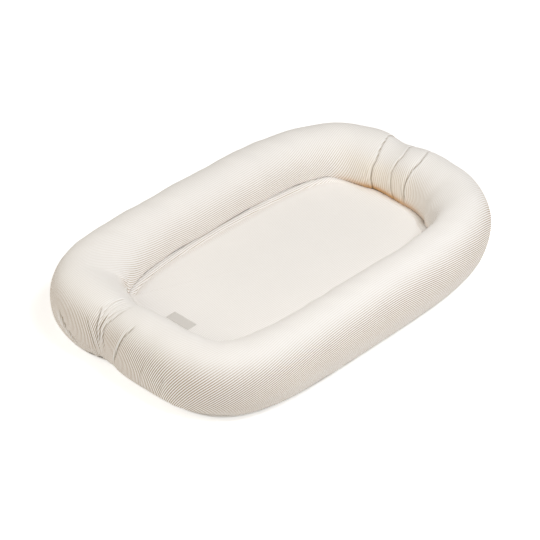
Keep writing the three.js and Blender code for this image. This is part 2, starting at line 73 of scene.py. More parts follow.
ZIP_HEIGHT = 7 * MM
BEAD_OUTER = 2.6 * MM
TAPE_WIDTH = 13 * MM
TAPE_THICKNESS = 0.6 * MM
TAPE_OVERHANG = 18 * MM
ZIP_WINDOW_HALF_WIDTH = 5.6 * MM
ZIP_WINDOW_OVERHANG = 14 * MM
ZIP_LINE_OVERHANG = 26 * MM
BASE_PANEL_FLAT_SHARE = 0.35
BASE_PANEL_SPLIT = 0.3 * MM

# The folds at the two short ends, whose tables are in millimetres and in degrees of the section
FOLD_CREASE = 1.1
FOLD_SHARPNESS = 0.75
FOLD_SHOULDER = 6 * MM
FOLD_LIP_PLACE = 3.2
FOLD_LIP_WIDTH = 1.7
FOLD_STEP_REACH = 22 * MM
FOLD_FADE = 13
FOLD_TUCK = 0.8
FOLD_CLOSED_DEPTH = 4.2
FOLD_TUCK_SPREAD = 120 * MM


class Fold(NamedTuple):
    """A fold: where along the end it lies at each angle, with 0 the outer side, 90 the top and
    180 the inner side, its depth, its raised lip, the step between its two sides, the side that
    lies lower, its crease's width and the angle from which it has its full strength."""

    angles: list
    places: list
    depth: float
    lip: float
    step: float
    side: int
    crease: float = FOLD_CREASE
    full: float = None


HEAD_FOLDS = [
    Fold(
        [-5, 40, 78, 95, 108, 124, 139, 152, 166, 176, 184, 192, 203],
        [68, 71, 71.6, 66.2, 64, 60.4, 56.5, 58, 57.5, 57.5, 54.7, 52.9, 51],
        depth=3.2, lip=1.0, step=2.2, side=-1, full=140,
    ),
    Fold(
        [10, 50, 76, 96, 113, 127, 138, 150, 158, 170, 180, 187, 196],
        [17, 18, 17.3, 10.2, 5.8, 8.4, 9.3, 9.8, 8, 4.4, 2.2, -2.7, -6],
        depth=3.0, lip=0.9, step=0.5, side=-1,
    ),
    Fold(
        [30, 60, 74, 91, 108, 118, 130, 142, 150, 160, 169, 176, 186],
        [-20, -23, -25.3, -32.9, -37.3, -36.4, -33.8, -32.9, -31.6, -31.6, -32, -34.2, -36],
        depth=4.2, lip=0.9, step=0.9, side=1, crease=1.5, full=125,
    ),
    Fold(
        [160, 165, 172, 180, 188],
        [-20, -22.2, -25.3, -29.3, -32],
        depth=1.6, lip=0.4, step=0, side=1,
    ),
]
FOOT_FOLDS = [
    Fold(
        [-26, -21, -16, -10, -6, 2, 12],
        [107, 112.9, 118.1, 124.5, 131.3, 138, 146],
        depth=4.2, lip=0.8, step=0.8, side=-1, crease=2.2,
    ),
    Fold(
        [-12, -4, 4, 15, 25, 36, 46, 52, 62],
        [49.5, 51.6, 54.3, 55.9, 59, 60.6, 61.7, 63.8, 66],
        depth=4.2, lip=1.2, step=1.6, side=1,
    ),
    Fold(
        [4, 10, 18, 28, 42, 50, 58],
        [49, 49, 49, 51.6, 49.5, 48.5, 48],
        depth=3.4, lip=1.0, step=0, side=1,
    ),
    Fold(
        [-4, 2, 10, 20, 28, 40, 54, 70, 88],
        [35, 37.4, 40, 41.6, 42.1, 39.5, 32.6, 27.9, 23],
        depth=2.6, lip=0.8, step=0.4, side=-1,
    ),
    Fold(
        [-16, -10, 1, 14, 22, 32],
        [58, 61.1, 65.4, 71.2, 77, 82],
        depth=2.4, lip=0.7, step=0.5, side=1, crease=1.6,
    ),
    Fold(
        [45, 57, 69, 84, 98, 115],
        [54.3, 55.9, 56.4, 56.4, 55.9, 56],
        depth=1.4, lip=1.2, step=0, side=-1,
    ),
    Fold(
        [48, 60, 74, 90, 106],
        [48.5, 48, 47, 44.5, 42],
        depth=1.1, lip=1.0, step=0, side=-1, crease=0.9,
    ),
    Fold(
        [46, 59, 71, 84, 102],
        [44.2, 40, 36.3, 29.5, 22],
        depth=1.4, lip=1.2, step=0, side=-1,
    ),
    Fold(
        [56, 66, 78, 90, 104],
        [41, 40, 37, 33.5, 29],
        depth=0.9, lip=0.9, step=0, side=-1, crease=0.8,
    ),
    Fold(
        [56, 66, 80, 94, 108],
        [52, 52, 51.5, 50, 48.5],
        depth=0.9, lip=0.9, step=0, side=-1, crease=0.8,
    ),
    Fold(
        [60, 74, 88, 100],
        [33, 30, 24, 19],
        depth=1.0, lip=0.9, step=0, side=-1,
    ),
    Fold(
        [58, 70, 84, 98],
        [60, 61.5, 62, 62.5],
        depth=0.8, lip=0.8, step=0, side=-1, crease=0.8,
    ),
    Fold(
        [-12, -6, 2, 16, 24, 36, 46, 55, 62],
        [7, 5.2, 1.5, -4.3, -6.9, -11.2, -15.4, -20.1, -23],
        depth=3.4, lip=1.1, step=0.9, side=-1,
    ),
    Fold(
        [-32, -26, -19, -14],
        [70, 72.5, 75, 77],
        depth=1.8, lip=0.5, step=0.4, side=1,
    ),
    Fold(
        [-34, -30, -26, -18],
        [55, 57.5, 59.6, 63],
        depth=1.8, lip=0.6, step=0.5, side=1,
    ),
    Fold(
        [-34, -30, -24],
        [34.5, 37, 40],
        depth=1.5, lip=0.5, step=0.4, side=1,
    ),
    Fold(
        [-42, -25, -10, 8, 20],
        [-50.8, -57.5, -62.9, -69.2, -73.7],
        depth=0.8, lip=0.15, step=0.4, side=1, crease=1.8,
    ),
    Fold(
        [-30, -4, 10, 20],
        [-103, -110.9, -115.1, -117.5],
        depth=1.2, lip=0.3, step=0.3, side=1, crease=1.6,
    ),
]

# How far the stuffing pushes the roll's inner wall in, at places along the centre line
INNER_BULGE_PLACES = [0, 25, 50, 75, 100, 130, 200, 300, 650, 720, 780, 850, 920, 1000, 1063]
INNER_BULGES = [3, 9, 13, 10.5, 8.5, 7.5, 8, 8, 8, 14, 23, 32, 23, 7, -3.5]
INNER_BULGE_PLACES += [1130, 1200, 1260, 1340, 1420, 1500, 1600, 1650, 1700, 1750, 1800, 1850, 1890]
INNER_BULGES += [-3.5, 2, 6, 7.5, 3.5, 1.5, 0, -1.5, -6, -10, -12.5, -11, -2]
INNER_BULGE_PLACES += [1920, 1950, 2000, 2060, 2126]
INNER_BULGES += [9, 14, 10, 5, 3]
INNER_BULGE_ANGLES = (100, 165)
INNER_TUCK_ANGLES = (200, 240)
BULGE_SMOOTHING = (-0.015, -0.005, 0.005, 0.015)

# Waves round the roll: their shortest and longest length, their height in mm, and their seed
WAVES = {
    "stuffing": (0.07, 0.5, 0.8, 7),
    "sides": (0.04, 0.12, 0.5, 8),
    "gathers": (0.007, 0.012, 0.5, 9),
    "low_puckers": (0.018, 0.045, 1, 10),
    "high_puckers": (0.02, 0.05, 0.3, 11),
    "lining": (0.03, 0.09, 0.25, 12),
    "panel": (0.025, 0.08, 0.5, 13),
    "base": (0.05, 0.16, 0.35, 14),
    "tufts": (0.03, 0.09, 0.4, 16),
}
WAVE_LEAN = 0.012
WAVE_COUNT = 26
END_REACH = 0.11
GATHERS_FROM_SEAM = 0.02
GATHERS_SPREAD = 0.022
LOW_PUCKER_SHARES = (0.35, 0.9)
LOW_PUCKER_REACH = 0.016
HIGH_PUCKER_REACH = 0.012
TURN_IN_DEPTHS = (0.5 * MM, 0.9 * MM)
TURN_IN_REACH = 0.0028

# How warm the painted shade in the narrow seam and on the head's inner wall is, at places from the
# head's middle, and how strongly the stripes fade on the inner wall, low on the near side and on the
# folds' lips, which paints those parts lighter
SEAM_SHADE_PLACES = [-250, -170, -100, -40, 0, 60, 100, 160, 200]
SEAM_SHADES = [0, 0.25, 0.35, 0.75, 1, 1, 0.6, 0.25, 0]
SEAM_SHADE_HIDDEN = 7 * MM
SEAM_SHADE_REACH = 5.5 * MM
INNER_WALL_ANGLES = (122, 165)
INNER_WALL_FADE_PLACES = [0, 150, 300, 900, 1000, 2126]
INNER_WALL_FADES = [0.5, 0.5, 0.3, 0.36, 0.5, 0.5]
LOW_SIDE_ANGLES = (-5, 28)
LOW_SIDE_FADE = 0.22
LOW_SIDE_PLACES = [1300, 1380, 1850, 1950]
LIP_FADE = 0.8
WALL_WARM_SHADE_SHARE = 0.3
FOLD_SHADE_SHARE = 0.85

# How much clearer the panel's stripes show on its rim, how far in from the seam, and where
RIM_STRIPE_GAIN = 1.5
RIM_STRIPE_REACH = (19 * MM, 34 * MM)
RIM_STRIPE_PLACES = [150, 300, 900, 1000]

# Which way the cloth's stripes run under the roll, as the roll's heading on the flat cloth
HEADING_PLACES = [0, 50, 100, 150, 206, 241, 273, 300, 333, 361, 400, 466, 565, 600, 664, 700, 735]
HEADINGS = [90, 93, 106, 116, 129, 139, 146, 156, 164, 171, 176, 180, 180, 184, 188, 191, 197]
HEADING_PLACES += [773, 820, 866, 900, 950, 1000, 1050, 1115, 1166, 1210, 1254, 1295, 1330, 1380]
HEADINGS += [208, 222, 238, 250, 263, 275, 286, 292, 303, 312, 324, 334, 340, 346]
HEADING_PLACES += [1430, 1500, 1560, 1610, 1655, 1720, 1790, 1840, 1885, 1936, 1990, 2034, 2100, 2126]
HEADINGS += [352, 356, 357, 359, 366, 368, 369, 373, 377, 391, 414, 428, 443, 450]
HEADING_SMOOTHING = (-0.012, 0, 0.012)
LAYING_GRID = (420, 52)
LAYING_STEPS = 500

# Counts and spacings of the cloth's meshes, and the reach over which a heading is measured
OUTLINE_SAMPLES = 2880
STATION_SAMPLES = 16001
STATION_EASING = 0.03
HEADING_REACH = 7 * MM
COVER_STATION_STEP = 5 * MM
GATHER_STATION_STEP = 0.7 * MM
HEAD_ZONE = (0.017, 0.062)
FOOT_ZONE = (-0.026, 0.112)
PAD_STATION_STEP = 9 * MM
PANEL_STATION_STEP = 6 * MM
PANEL_HEAD_ZONE = (0.0, 0.15, 3 * MM)
PANEL_FLAT_COLUMN = 17
COVER_ROWS = 73
COVER_INNER_ROWS = 25
LINING_ROWS = 12
BASE_STATIONS = 260

# How the filling, the lining, the pad, the panel, the base, the label and the tapes are shaped,
# and how far apart the points of a stitched row lie
FILLING_ROWS = 48
FILLING_END = 0.05
FILLING_INSET = 0.4 * MM
FILLING_HIGHEST = 0.6 * MM
FILLING_SINK = 0.6 * MM
FILLING_LEAN = 0.02
FILLING_ROUNDING = 14 * MM
FILLING_TAPER = 22 * MM
LINING_SHARES = (0.02, 0.93)
LINING_GAP = 0.3 * MM
LINING_LOWEST = 1.6 * MM
PAD_CORNER = 7 * MM
PAD_PUFF = 0.5 * MM
PAD_PUFF_LENGTHS = (0.045, 0.05)
PANEL_SEAM_GAP = -0.5 * MM
PANEL_CORNER = 4 * MM
PANEL_RIM_SHARE = 0.97
PANEL_PULL_REACH = 0.02
PANEL_PULL_START = 6 * MM
PANEL_SLACK = 0.35 * MM
PANEL_SLACK_LENGTHS = (0.06, 0.047)
PANEL_LEAN = 0.5
PANEL_LEAN_REACH = 8 * MM
FOOT_FILLED_FROM = 0.8
FOOT_FILL = 1.3
BASE_CORNER = 12 * MM
BASE_SLACK_FROM_ZIP = (0.01, 0.05)
BASE_SLACK_FROM_SEAM = (0, 0.03)
LABEL_SUNK = 0.25 * MM
LABEL_SUNK_REACH = 2.5 * MM
LABEL_RIPPLE = 0.12 * MM
LABEL_RIPPLE_LENGTH = 0.0043
LABEL_RIPPLE_REACH = 3 * MM
RIB_HEIGHT = 0.06 * MM
TAPE_CLOSING = (196.6 * MM, 199.5 * MM)
BOTTOM_STOP_NEARER = 3 * MM
STITCH_SPACING = 2 * MM

# Colours, linear
WHITE_YARN = (0.955, 0.944, 0.935, 1)
TAN_YARN = (0.42, 0.30, 0.185, 1)
# Painted shade that the cover's cloth carries: warm shade and bounce light on the head's inner wall,
# warm shade in the narrow seam, and shade in the folds' creases
CARRIED_SHADES = {
    "wall_warm_shade": (0.95, 0.83, 0.62, 1),
    "seam_shade": (0.70, 0.42, 0.19, 1),
    "fold_shade": (0.26, 0.21, 0.15, 1),
}
STRIPE_PITCH = 3.85 * MM
STRIPE_SHARE = 0.38
STRIPE_EDGE = 0.04
PLAIN_COTTON = (0.90, 0.885, 0.86)
FIBRE_WHITE = (0.93, 0.925, 0.90)
PAD_WHITE = (0.89, 0.875, 0.84)
LABEL_GREY = (0.70, 0.68, 0.655)
TAPE_WHITE = (0.82, 0.80, 0.76)
PLASTIC_WHITE = (0.80, 0.78, 0.73)
NICKEL = (0.66, 0.64, 0.60)
THREAD_WHITE = (0.90, 0.875, 0.84)
FLOOR_COLOUR = (0.95, 0.95, 0.95, 1)
SEEN_FLOOR_COLOUR = (0.92, 0.92, 0.92, 1)
WARM_LIGHT = (1, 0.94, 0.84)


# Centre line of the roll

CENTRE_HALF_LENGTH = (OVERALL_LENGTH - ROLL_WIDTH) / 2
CENTRE_HALF_WIDTH = (OVERALL_WIDTH - ROLL_WIDTH) / 2


def signed_power(value, power):
    return np.sign(value) * np.abs(value) ** power


def walk_centre_line():
    angle = np.linspace(0, 2 * np.pi, OUTLINE_SAMPLES + 1)
    roundness = np.where(np.cos(angle) > 0, HEAD_ROUNDNESS, FOOT_ROUNDNESS)
    x = CENTRE_HALF_LENGTH * signed_power(np.cos(angle), 2 / roundness)
    y = CENTRE_HALF_WIDTH * signed_power(np.sin(angle), 2 / roundness)
    steps = np.hypot(np.diff(x), np.diff(y))
    return x, y, np.concatenate([[0], np.cumsum(steps)])


LINE_X, LINE_Y, WALKED = walk_centre_line()
TOTAL = WALKED[-1]
HALF_WALK = TOTAL / 2


def centre_at(s):
    s = np.mod(s, TOTAL)
    return np.interp(s, WALKED, LINE_X), np.interp(s, WALKED, LINE_Y)


def along_line(s, places, values):
    """Values given at places along the centre line, in mm, carried to any place on it."""
    return np.interp(np.mod(s, TOTAL) / MM, places, values)


def outward_at(s):
    ahead_x, ahead_y = centre_at(s + HEADING_REACH)
    behind_x, behind_y = centre_at(s - HEADING_REACH)
    along_x, along_y = ahead_x - behind_x, ahead_y - behind_y
    length = np.hypot(along_x, along_y)
    return along_y / length, -along_x / length


def along_end(s, middle, direction):
    """Distance along a short end from its middle, growing towards the left side."""
    along = direction * (s - middle)
    return (along + HALF_WALK) % TOTAL - HALF_WALK


ENDS = [(0, 1, HEAD_FOLDS), (HALF_WALK, -1, FOOT_FOLDS)]


def gather_depth(s):
    depth = np.zeros_like(s)
    for middle, direction, _ in ENDS:
        along = along_end(s, middle, direction)
        depth += GATHER_DEPTH * np.exp(-(((along - GATHER_OFFSET) / GATHER_REACH) ** 2))
    return depth


# Section of the roll

RISE = ROLL_HEIGHT - SECTION_CENTRE_HEIGHT


def section(angle, drawn=0):
    power = 2 / SECTION_ROUNDNESS
    across = (ROLL_WIDTH / 2 - drawn) * signed_power(np.cos(angle), power)
    up = SECTION_CENTRE_HEIGHT + (RISE - drawn) * signed_power(np.sin(angle), power)
    return across, up


def section_normal(angle, drawn=0):
    turn = 0.01
    ahead = section(angle + turn, drawn)
    behind = section(angle - turn, drawn)
    along_across, along_up = ahead[0] - behind[0], ahead[1] - behind[1]
    length = np.hypot(along_across, along_up)
    return along_up / length, -along_across / length


def angle_below(height):
    drop = (SECTION_CENTRE_HEIGHT - np.asarray(height)) / RISE
    return np.arcsin(drop ** (SECTION_ROUNDNESS / 2))


def measure_section():
    """Distance over the section from its top, growing outwards, at each angle."""
    angles = np.radians(np.linspace(-90, 270, 1441))
    across, up = section(angles)
    walked = np.concatenate([[0], np.cumsum(np.hypot(np.diff(across), np.diff(up)))])
    return angles, np.interp(np.pi / 2, angles, walked) - walked


SECTION_ANGLES, SECTION_WALKED = measure_section()


def walked_at_angle(angle):
    return np.interp(angle, SECTION_ANGLES, SECTION_WALKED)


def angle_at_walked(walked):
    return np.interp(-walked, -SECTION_WALKED, SECTION_ANGLES)


OUTER_SEAM_ANGLE = -float(angle_below(OUTER_SEAM_HEIGHT))
FOOTPRINT_ANGLE = float(angle_below(0))


def smoothstep(value, low, high):
    share = np.clip((value - low) / (high - low), 0, 1)
    return share * share * (3 - 2 * share)


def blend_along(s, side, head, foot):
    x, _ = centre_at(s)
    weight = smoothstep(np.abs(x) / CENTRE_HALF_LENGTH, INNER_SEAM_BLEND_SHARE, 1)
    return side + (np.where(x > 0, head, foot) - side) * weight


def inner_seam_angle(s):
    return np.pi + angle_below(blend_along(s, *INNER_SEAM_HEIGHTS))


def mattress_edge(s):
    return -(ROLL_WIDTH / 2 + blend_along(s, *MATTRESS_INSETS))


def pad_edge(s):
    """The edge of the dressed pad, which makes room for the bulge of the roll's inner wall."""
    return mattress_edge(s) - inner_bulge(s)


def place(s, across, up):
    """Points of sections that stand on the centre line at places s."""
    x, y = centre_at(s)
    outward_x, outward_y = outward_at(s)
    return np.stack([x + outward_x * across, y + outward_y * across, up], axis=-1)


# Relief of the stuffed roll


def waves(s, kind):
    """A wave round the whole roll, of many lengths between its kind's shortest and longest."""
    shortest, longest, height, seed = WAVES[kind]
    rng = np.random.RandomState(seed)
    counts = np.unique(np.geomspace(TOTAL / longest, TOTAL / shortest, WAVE_COUNT).astype(int))
    total = np.zeros_like(s)
    for count in counts:
        phase, weight = rng.uniform(0, 2 * np.pi), rng.uniform(0.5, 1)
        total += weight * np.sin(2 * np.pi * count * s / TOTAL + phase)
    return height * MM * total / math.sqrt(len(counts))


def fold_strength(fold, degrees):
    first, last = fold.angles[0], fold.angles[-1]
    fade = min(FOLD_FADE, (last - first) / 3)
    full = first + fade if fold.full is None else fold.full
    rising = smoothstep(degrees, first - fade / 2, full)
    falling = 1 - smoothstep(degrees, last - fade, last + fade / 2)
    return rising * falling


def each_fold(s, angle):
    """Each fold with, for every point, its distance from it, the fold's width and its strength."""
    degrees = np.degrees(angle)
    for middle, direction, folds in ENDS:
        along = along_end(s, middle, direction)
        for fold in folds:
            apart = along - np.interp(degrees, fold.angles, fold.places) * MM
            yield fold, apart, fold.crease * MM, fold_strength(fold, degrees)


def fold_lip(fold, apart, width):
    return np.exp(-(((apart * fold.side / width + FOLD_LIP_PLACE) / FOLD_LIP_WIDTH) ** 2))


def fold_relief(s, angle):
    relief = np.zeros_like(s)
    for fold, apart, width, strength in each_fold(s, angle):
        crease = FOLD_SHARPNESS * np.exp(-np.abs(apart) / width)
        shoulder = (1 - FOLD_SHARPNESS) * np.exp(-((apart / FOLD_SHOULDER) ** 2))
        step = np.where(apart * fold.side > 0, np.exp(-np.abs(apart) / FOLD_STEP_REACH), 0)
        height = fold.lip * fold_lip(fold, apart, width) - fold.depth * (crease + shoulder)
        relief += MM * (height - fold.step * step) * strength
    return relief


def fold_shades(s, angle):
    """How closed each point's fold is, for the painted shade in its crease, and how far the point
    lies on a fold's stretched lip, for a painted highlight.
    """
    closed, lip = np.zeros_like(s), np.zeros_like(s)
    for fold, apart, width, strength in each_fold(s, angle):
        depth = min(fold.depth / FOLD_CLOSED_DEPTH, 1)
        closed = np.maximum(closed, depth * strength * np.exp(-((apart / width) ** 2)))
        raised = min(fold.lip, 1) * strength * fold_lip(fold, apart, width)
        lip = np.maximum(lip, raised)
    return closed, lip


def end_weight(s):
    weight = np.zeros_like(s)
    for middle, direction, _ in ENDS:
        along = along_end(s, middle, direction)
        weight += np.exp(-(((along - GATHER_OFFSET / 2) / END_REACH) ** 2))
    return weight


def cover_relief(s, angle):
    """How far the stuffed cover stands off the plain section."""
    walked = walked_at_angle(angle)
    to_inner = np.maximum(walked - walked_at_angle(inner_seam_angle(s)), 0)
    to_outer = np.maximum(walked_at_angle(OUTER_SEAM_ANGLE) - walked, 0)
    lean = WAVE_LEAN * np.sin(angle * 2)
    relief = waves(s + lean, "stuffing") + waves(s - 2 * lean, "sides") * np.sin(angle)
    ends = end_weight(s)
    by_seam = np.exp(-np.abs(to_inner - GATHERS_FROM_SEAM) / GATHERS_SPREAD)
    relief += waves(s, "gathers") * ends * by_seam
    low = LOW_PUCKER_SHARES[0] + LOW_PUCKER_SHARES[1] * ends
    relief += low * waves(s, "low_puckers") * np.exp(-to_outer / LOW_PUCKER_REACH)
    relief += waves(s, "high_puckers") * np.exp(-to_inner / HIGH_PUCKER_REACH)
    for depth, to_edge in zip(TURN_IN_DEPTHS, (to_inner, to_outer)):
        relief -= depth * np.exp(-to_edge / TURN_IN_REACH)
    return relief + fold_relief(s, angle)


def inner_bulge(s):
    spots = [s + offset for offset in BULGE_SMOOTHING]
    pushed = sum(along_line(spot, INNER_BULGE_PLACES, INNER_BULGES) for spot in spots)
    return pushed / len(spots) * MM


def bulge_at(s, angle):
    """How far the inner wall stands inwards: most at the seam, nothing on top and at the floor."""
    degrees = np.degrees(angle)
    tucked = smoothstep(degrees, *INNER_TUCK_ANGLES)
    return inner_bulge(s) * smoothstep(degrees, *INNER_BULGE_ANGLES) * (1 - tucked)


def roll_surface(s, angle, lift, lowest=0):
    """Points that stand off the bulged and drawn-in roll by a lift, none below the lowest."""
    drawn = gather_depth(s)
    across, up = section(angle, drawn)
    across = across - bulge_at(s, angle)
    normal_across, normal_up = section_normal(angle, drawn)
    return place(s, across + normal_across * lift, np.maximum(up + normal_up * lift, lowest))


def station_places(step, *zones):
    """Places along the centre line, closer together in the zones (middle, reach, step)."""
    fine = np.linspace(0, TOTAL, STATION_SAMPLES)
    spacing = np.full(fine.shape, step)
    for middle, reach, close in zones:
        apart = np.abs(along_end(fine, middle, 1))
        wider = close + (step - close) * np.clip((apart - reach) / STATION_EASING, 0, 1)
        spacing = np.minimum(spacing, wider)
    load = np.concatenate([[0], np.cumsum(np.diff(fine) / spacing[1:])])
    count = int(round(load[-1]))
    return np.interp(np.arange(count) * load[-1] / count, load, fine)


def spread(s, count):
    """The places of the stations, once for each point across."""
    return np.repeat(s[:, None], count, axis=1)


# Cut of the striped cloth


def cover_grid(places, rows):
    """Stations by rows of the cover, from the outer seam to the inner one."""
    outer = walked_at_angle(OUTER_SEAM_ANGLE)
    inner = walked_at_angle(inner_seam_angle(places))[:, None]
    share = np.linspace(0, 1, rows)[None, :]
    return spread(places, rows), angle_at_walked(outer + (inner - outer) * share)


def heading_at(s):
    turned = 0
    for offset in HEADING_SMOOTHING:
        laps, spot = np.divmod(np.mod(s, TOTAL) + offset, TOTAL)
        turned = turned + np.interp(spot / MM, HEADING_PLACES, HEADINGS) + 360 * laps
    return np.radians(turned / len(HEADING_SMOOTHING))


def gather_edges(along, beside):
    """The sum over each point of what its edges bring: the transpose of taking differences."""
    total = np.roll(along, 1, axis=0) - along
    total[:, 1:] += beside
    total[:, :-1] -= beside
    return total


def settle(guess, along, beside, along_weight, beside_weight):
    """The values whose differences come nearest to those asked for, by conjugate gradients."""
    def pull(values):
        ahead = np.roll(values, -1, axis=0) - values
        return gather_edges(along_weight * ahead, beside_weight * np.diff(values, axis=1))

    values = guess.copy()
    left = gather_edges(along_weight * along, beside_weight * beside) - pull(values)
    step = left.copy()
    size = (left * left).sum()
    for _ in range(LAYING_STEPS):
        pulled = pull(step)
        reach = size / (step * pulled).sum()
        values += reach * step
        left -= reach * pulled
        new_size = (left * left).sum()
        step = left + step * (new_size / size)
        size = new_size
    return values


def lay_cloth():
    """Lays the flat cloth round the roll, keeping to its headings and spacing where it can."""
    stations, rows = LAYING_GRID
    places = np.arange(stations) * TOTAL / stations
    s, angle = cover_grid(places, rows)
    points = roll_surface(s, angle, 0)
    along = np.linalg.norm(np.roll(points, -1, axis=0) - points, axis=-1)
    beside = np.linalg.norm(np.diff(points, axis=1), axis=-1)
    weights = np.mean(beside) / along, np.mean(along) / beside
    ahead = heading_at(s + TOTAL / stations / 2)
    here = heading_at(s[:, :-1])
    x, y = centre_at(s)
    outward_x, outward_y = outward_at(s)
    walked = walked_at_angle(angle)
    cut_x = settle(x + outward_x * walked, along * np.cos(ahead), -beside * np.sin(here), *weights)
    cut_y = settle(y + outward_y * walked, along * np.sin(ahead), beside * np.cos(here), *weights)
    return cut_x, cut_y


def roll_cut(s, angle):
    """Where a point of the cover lies on the flat cloth, whose stripes run along X."""
    stations, rows = LAYING_GRID
    outer = walked_at_angle(OUTER_SEAM_ANGLE)
    inner = walked_at_angle(inner_seam_angle(s))
    row = np.clip((walked_at_angle(angle) - outer) / (inner - outer), 0, 1) * (rows - 1)
    station = np.mod(s, TOTAL) / TOTAL * stations
    i, j = np.floor(station).astype(int), np.minimum(np.floor(row).astype(int), rows - 2)
    a, b = station - i, row - j
    places = []
    for grid in lay_cloth():
        near, far = (
            grid[k % stations, j] * (1 - b) + grid[k % stations, j + 1] * b for k in (i, i + 1)
        )
        places.append(near * (1 - a) + far * a)
    for fold, apart, width, strength in each_fold(s, angle):
        tucked = np.tanh(apart / (2 * width)) - np.tanh(apart / FOLD_TUCK_SPREAD)
        places[1] = places[1] + FOLD_TUCK / 2 * fold.depth * MM * strength * tucked
    return np.stack(places, axis=-1)


# Meshes


def new_object(name, mesh):
    made = bpy.data.objects.new(name, mesh)
    bpy.context.collection.objects.link(made)
    return made


def signed_volume(points, quads):
    corners = points[quads]
    volume = 0.0
    for a, b, c in ((0, 1, 2), (0, 2, 3)):
        cross = np.cross(corners[:, b], corners[:, c])
        volume += float((corners[:, a] * cross).sum())
    return volume


def ring_faces(count, size, closed_run):
    """The quads between loops of points, each loop closed, and the last one next to the first."""
    rows = np.arange(count if closed_run else count - 1)
    i, j = np.meshgrid(rows, np.arange(size), indexing="ij")
    ahead, beside = (i + 1) % count, (j + 1) % size
    corners = [i * size + j, ahead * size + j, ahead * size + beside, i * size + beside]
    return np.stack([corner.ravel() for corner in corners], axis=1)


def join_skin(mesh, closed_run):
    """Joins points that coincide, closes the ends of an open run and shades the faces smooth."""
    skin = bmesh.new()
    skin.from_mesh(mesh)
    bmesh.ops.remove_doubles(skin, verts=skin.verts, dist=1e-6)
    if not closed_run:
        open_edges = [edge for edge in skin.edges if edge.is_boundary]
        bmesh.ops.holes_fill(skin, edges=open_edges, sides=0)
        bmesh.ops.recalc_face_normals(skin, faces=skin.faces)
    for face in skin.faces:
        face.smooth = True
    skin.to_mesh(mesh)
    skin.free()
    mesh.update()


def ring_mesh(name, loops, cut=None, closed_run=True, shades=None):
    """A closed skin over loops of points, with the flat cut as its UV map."""
    points = loops.reshape(-1, 3)
    quads = ring_faces(*loops.shape[:2], closed_run)
    if signed_volume(points, quads) < 0:
        quads = quads[:, ::-1]
    mesh = bpy.data.meshes.new(name)
    mesh.from_pydata(points.tolist(), [], quads.tolist())
    if cut is not None:
        layer = mesh.uv_layers.new(name="cut")
        corner_points = np.empty(len(mesh.loops), dtype=np.int32)
        mesh.loops.foreach_get("vertex_index", corner_points)
        layer.data.foreach_set("uv", cut.reshape(-1, 2)[corner_points].ravel())
    for shade, values in (shades or {}).items():
        mesh.attributes.new(shade, "FLOAT", "POINT").data.foreach_set("value", values.ravel())
    join_skin(mesh, closed_run)
    return new_object(name, mesh)


def grid_normals(points, closed_run, upward):
    """Unit normals of a grid of points, which point up on average in the columns given."""
    if closed_run:
        along = np.roll(points, -1, axis=0) - np.roll(points, 1, axis=0)
    else:
        along = np.gradient(points, axis=0)
    normal = np.cross(along, np.gradient(points, axis=1))
    length = np.linalg.norm(normal, axis=-1, keepdims=True)
    normal = np.where(length > 1e-12, normal / np.maximum(length, 1e-12), (0, 0, 1))
    return -normal if normal[:, upward, 2].mean() < 0 else normal


def both_faces(face, back):
    """Loops that run over one face of a cloth and back over the other."""
    return np.concatenate([face, back[:, ::-1]], axis=1)


def quilted(points, lengths, shift=0):
    """A wave in both directions, at most 1 high."""
    return np.sin(points[..., 0] / lengths[0] + shift) * np.sin(points[..., 1] / lengths[1])


def walked_across(points):
    """How far each point of a row lies from the row's first point, along the row."""
    steps = np.linalg.norm(np.diff(points, axis=1), axis=-1)
    return np.pad(np.cumsum(steps, axis=1), ((0, 0), (1, 0)))


def side_name(side):
    return "left" if side > 0 else "right"


def finish_piece(piece, material, slot, *nodes):
    piece.data.materials.clear()
    piece.data.materials.append(material)
    if nodes:
        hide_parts(*nodes)
    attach(piece, "lounger")


# Shader node helpers


def feed(tree, socket, value):
    """Gives a socket a constant, or links it to another node's output."""
    if isinstance(value, bpy.types.NodeSocket):
        tree.links.new(value, socket)
    else:
        socket.default_value = value


def put(tree, kind, values=None, **settings):
    made = tree.nodes.new(kind)
    for name, value in settings.items():
        setattr(made, name, value)
    for socket, value in (values or {}).items():
        feed(tree, made.inputs[socket], value)
    return made


def maths(tree, operation, *terms):
    return put(tree, "ShaderNodeMath", dict(enumerate(terms)), operation=operation).outputs[0]


def ramp(tree, value, before, after, kind="LINEAR"):
    """Carries a value from one range over to another, each a pair."""
    sockets = ("Value", "From Min", "From Max", "To Min", "To Max")
    values = dict(zip(sockets, (value, *before, *after)))
    return put(tree, "ShaderNodeMapRange", values, interpolation_type=kind).outputs[0]


def blend_colours(tree, share, first, second):
    made = put(tree, "ShaderNodeMix", data_type="RGBA")
    sockets = {socket.name: socket for socket in made.inputs if socket.enabled}
    for name, value in (("Factor", share), ("A", first), ("B", second)):
        feed(tree, sockets[name], value)
    return next(socket for socket in made.outputs if socket.enabled)


def on_object(tree):
    return put(tree, "ShaderNodeTexCoord").outputs["Object"]


def carried(tree, name):
    """A value that the mesh carries from point to point."""
    return put(tree, "ShaderNodeAttribute", attribute_name=name).outputs["Fac"]


def toned(tree, colour, tone):
    values = {0: colour, "Scale": tone}
    return put(tree, "ShaderNodeVectorMath", values, operation="SCALE").outputs[0]


def bump(tree, height, distance, strength, under=None):
    values = {"Height": height, "Distance": distance, "Strength": strength}
    if under is not None:
        values["Normal"] = under
    return put(tree, "ShaderNodeBump", values).outputs[0]


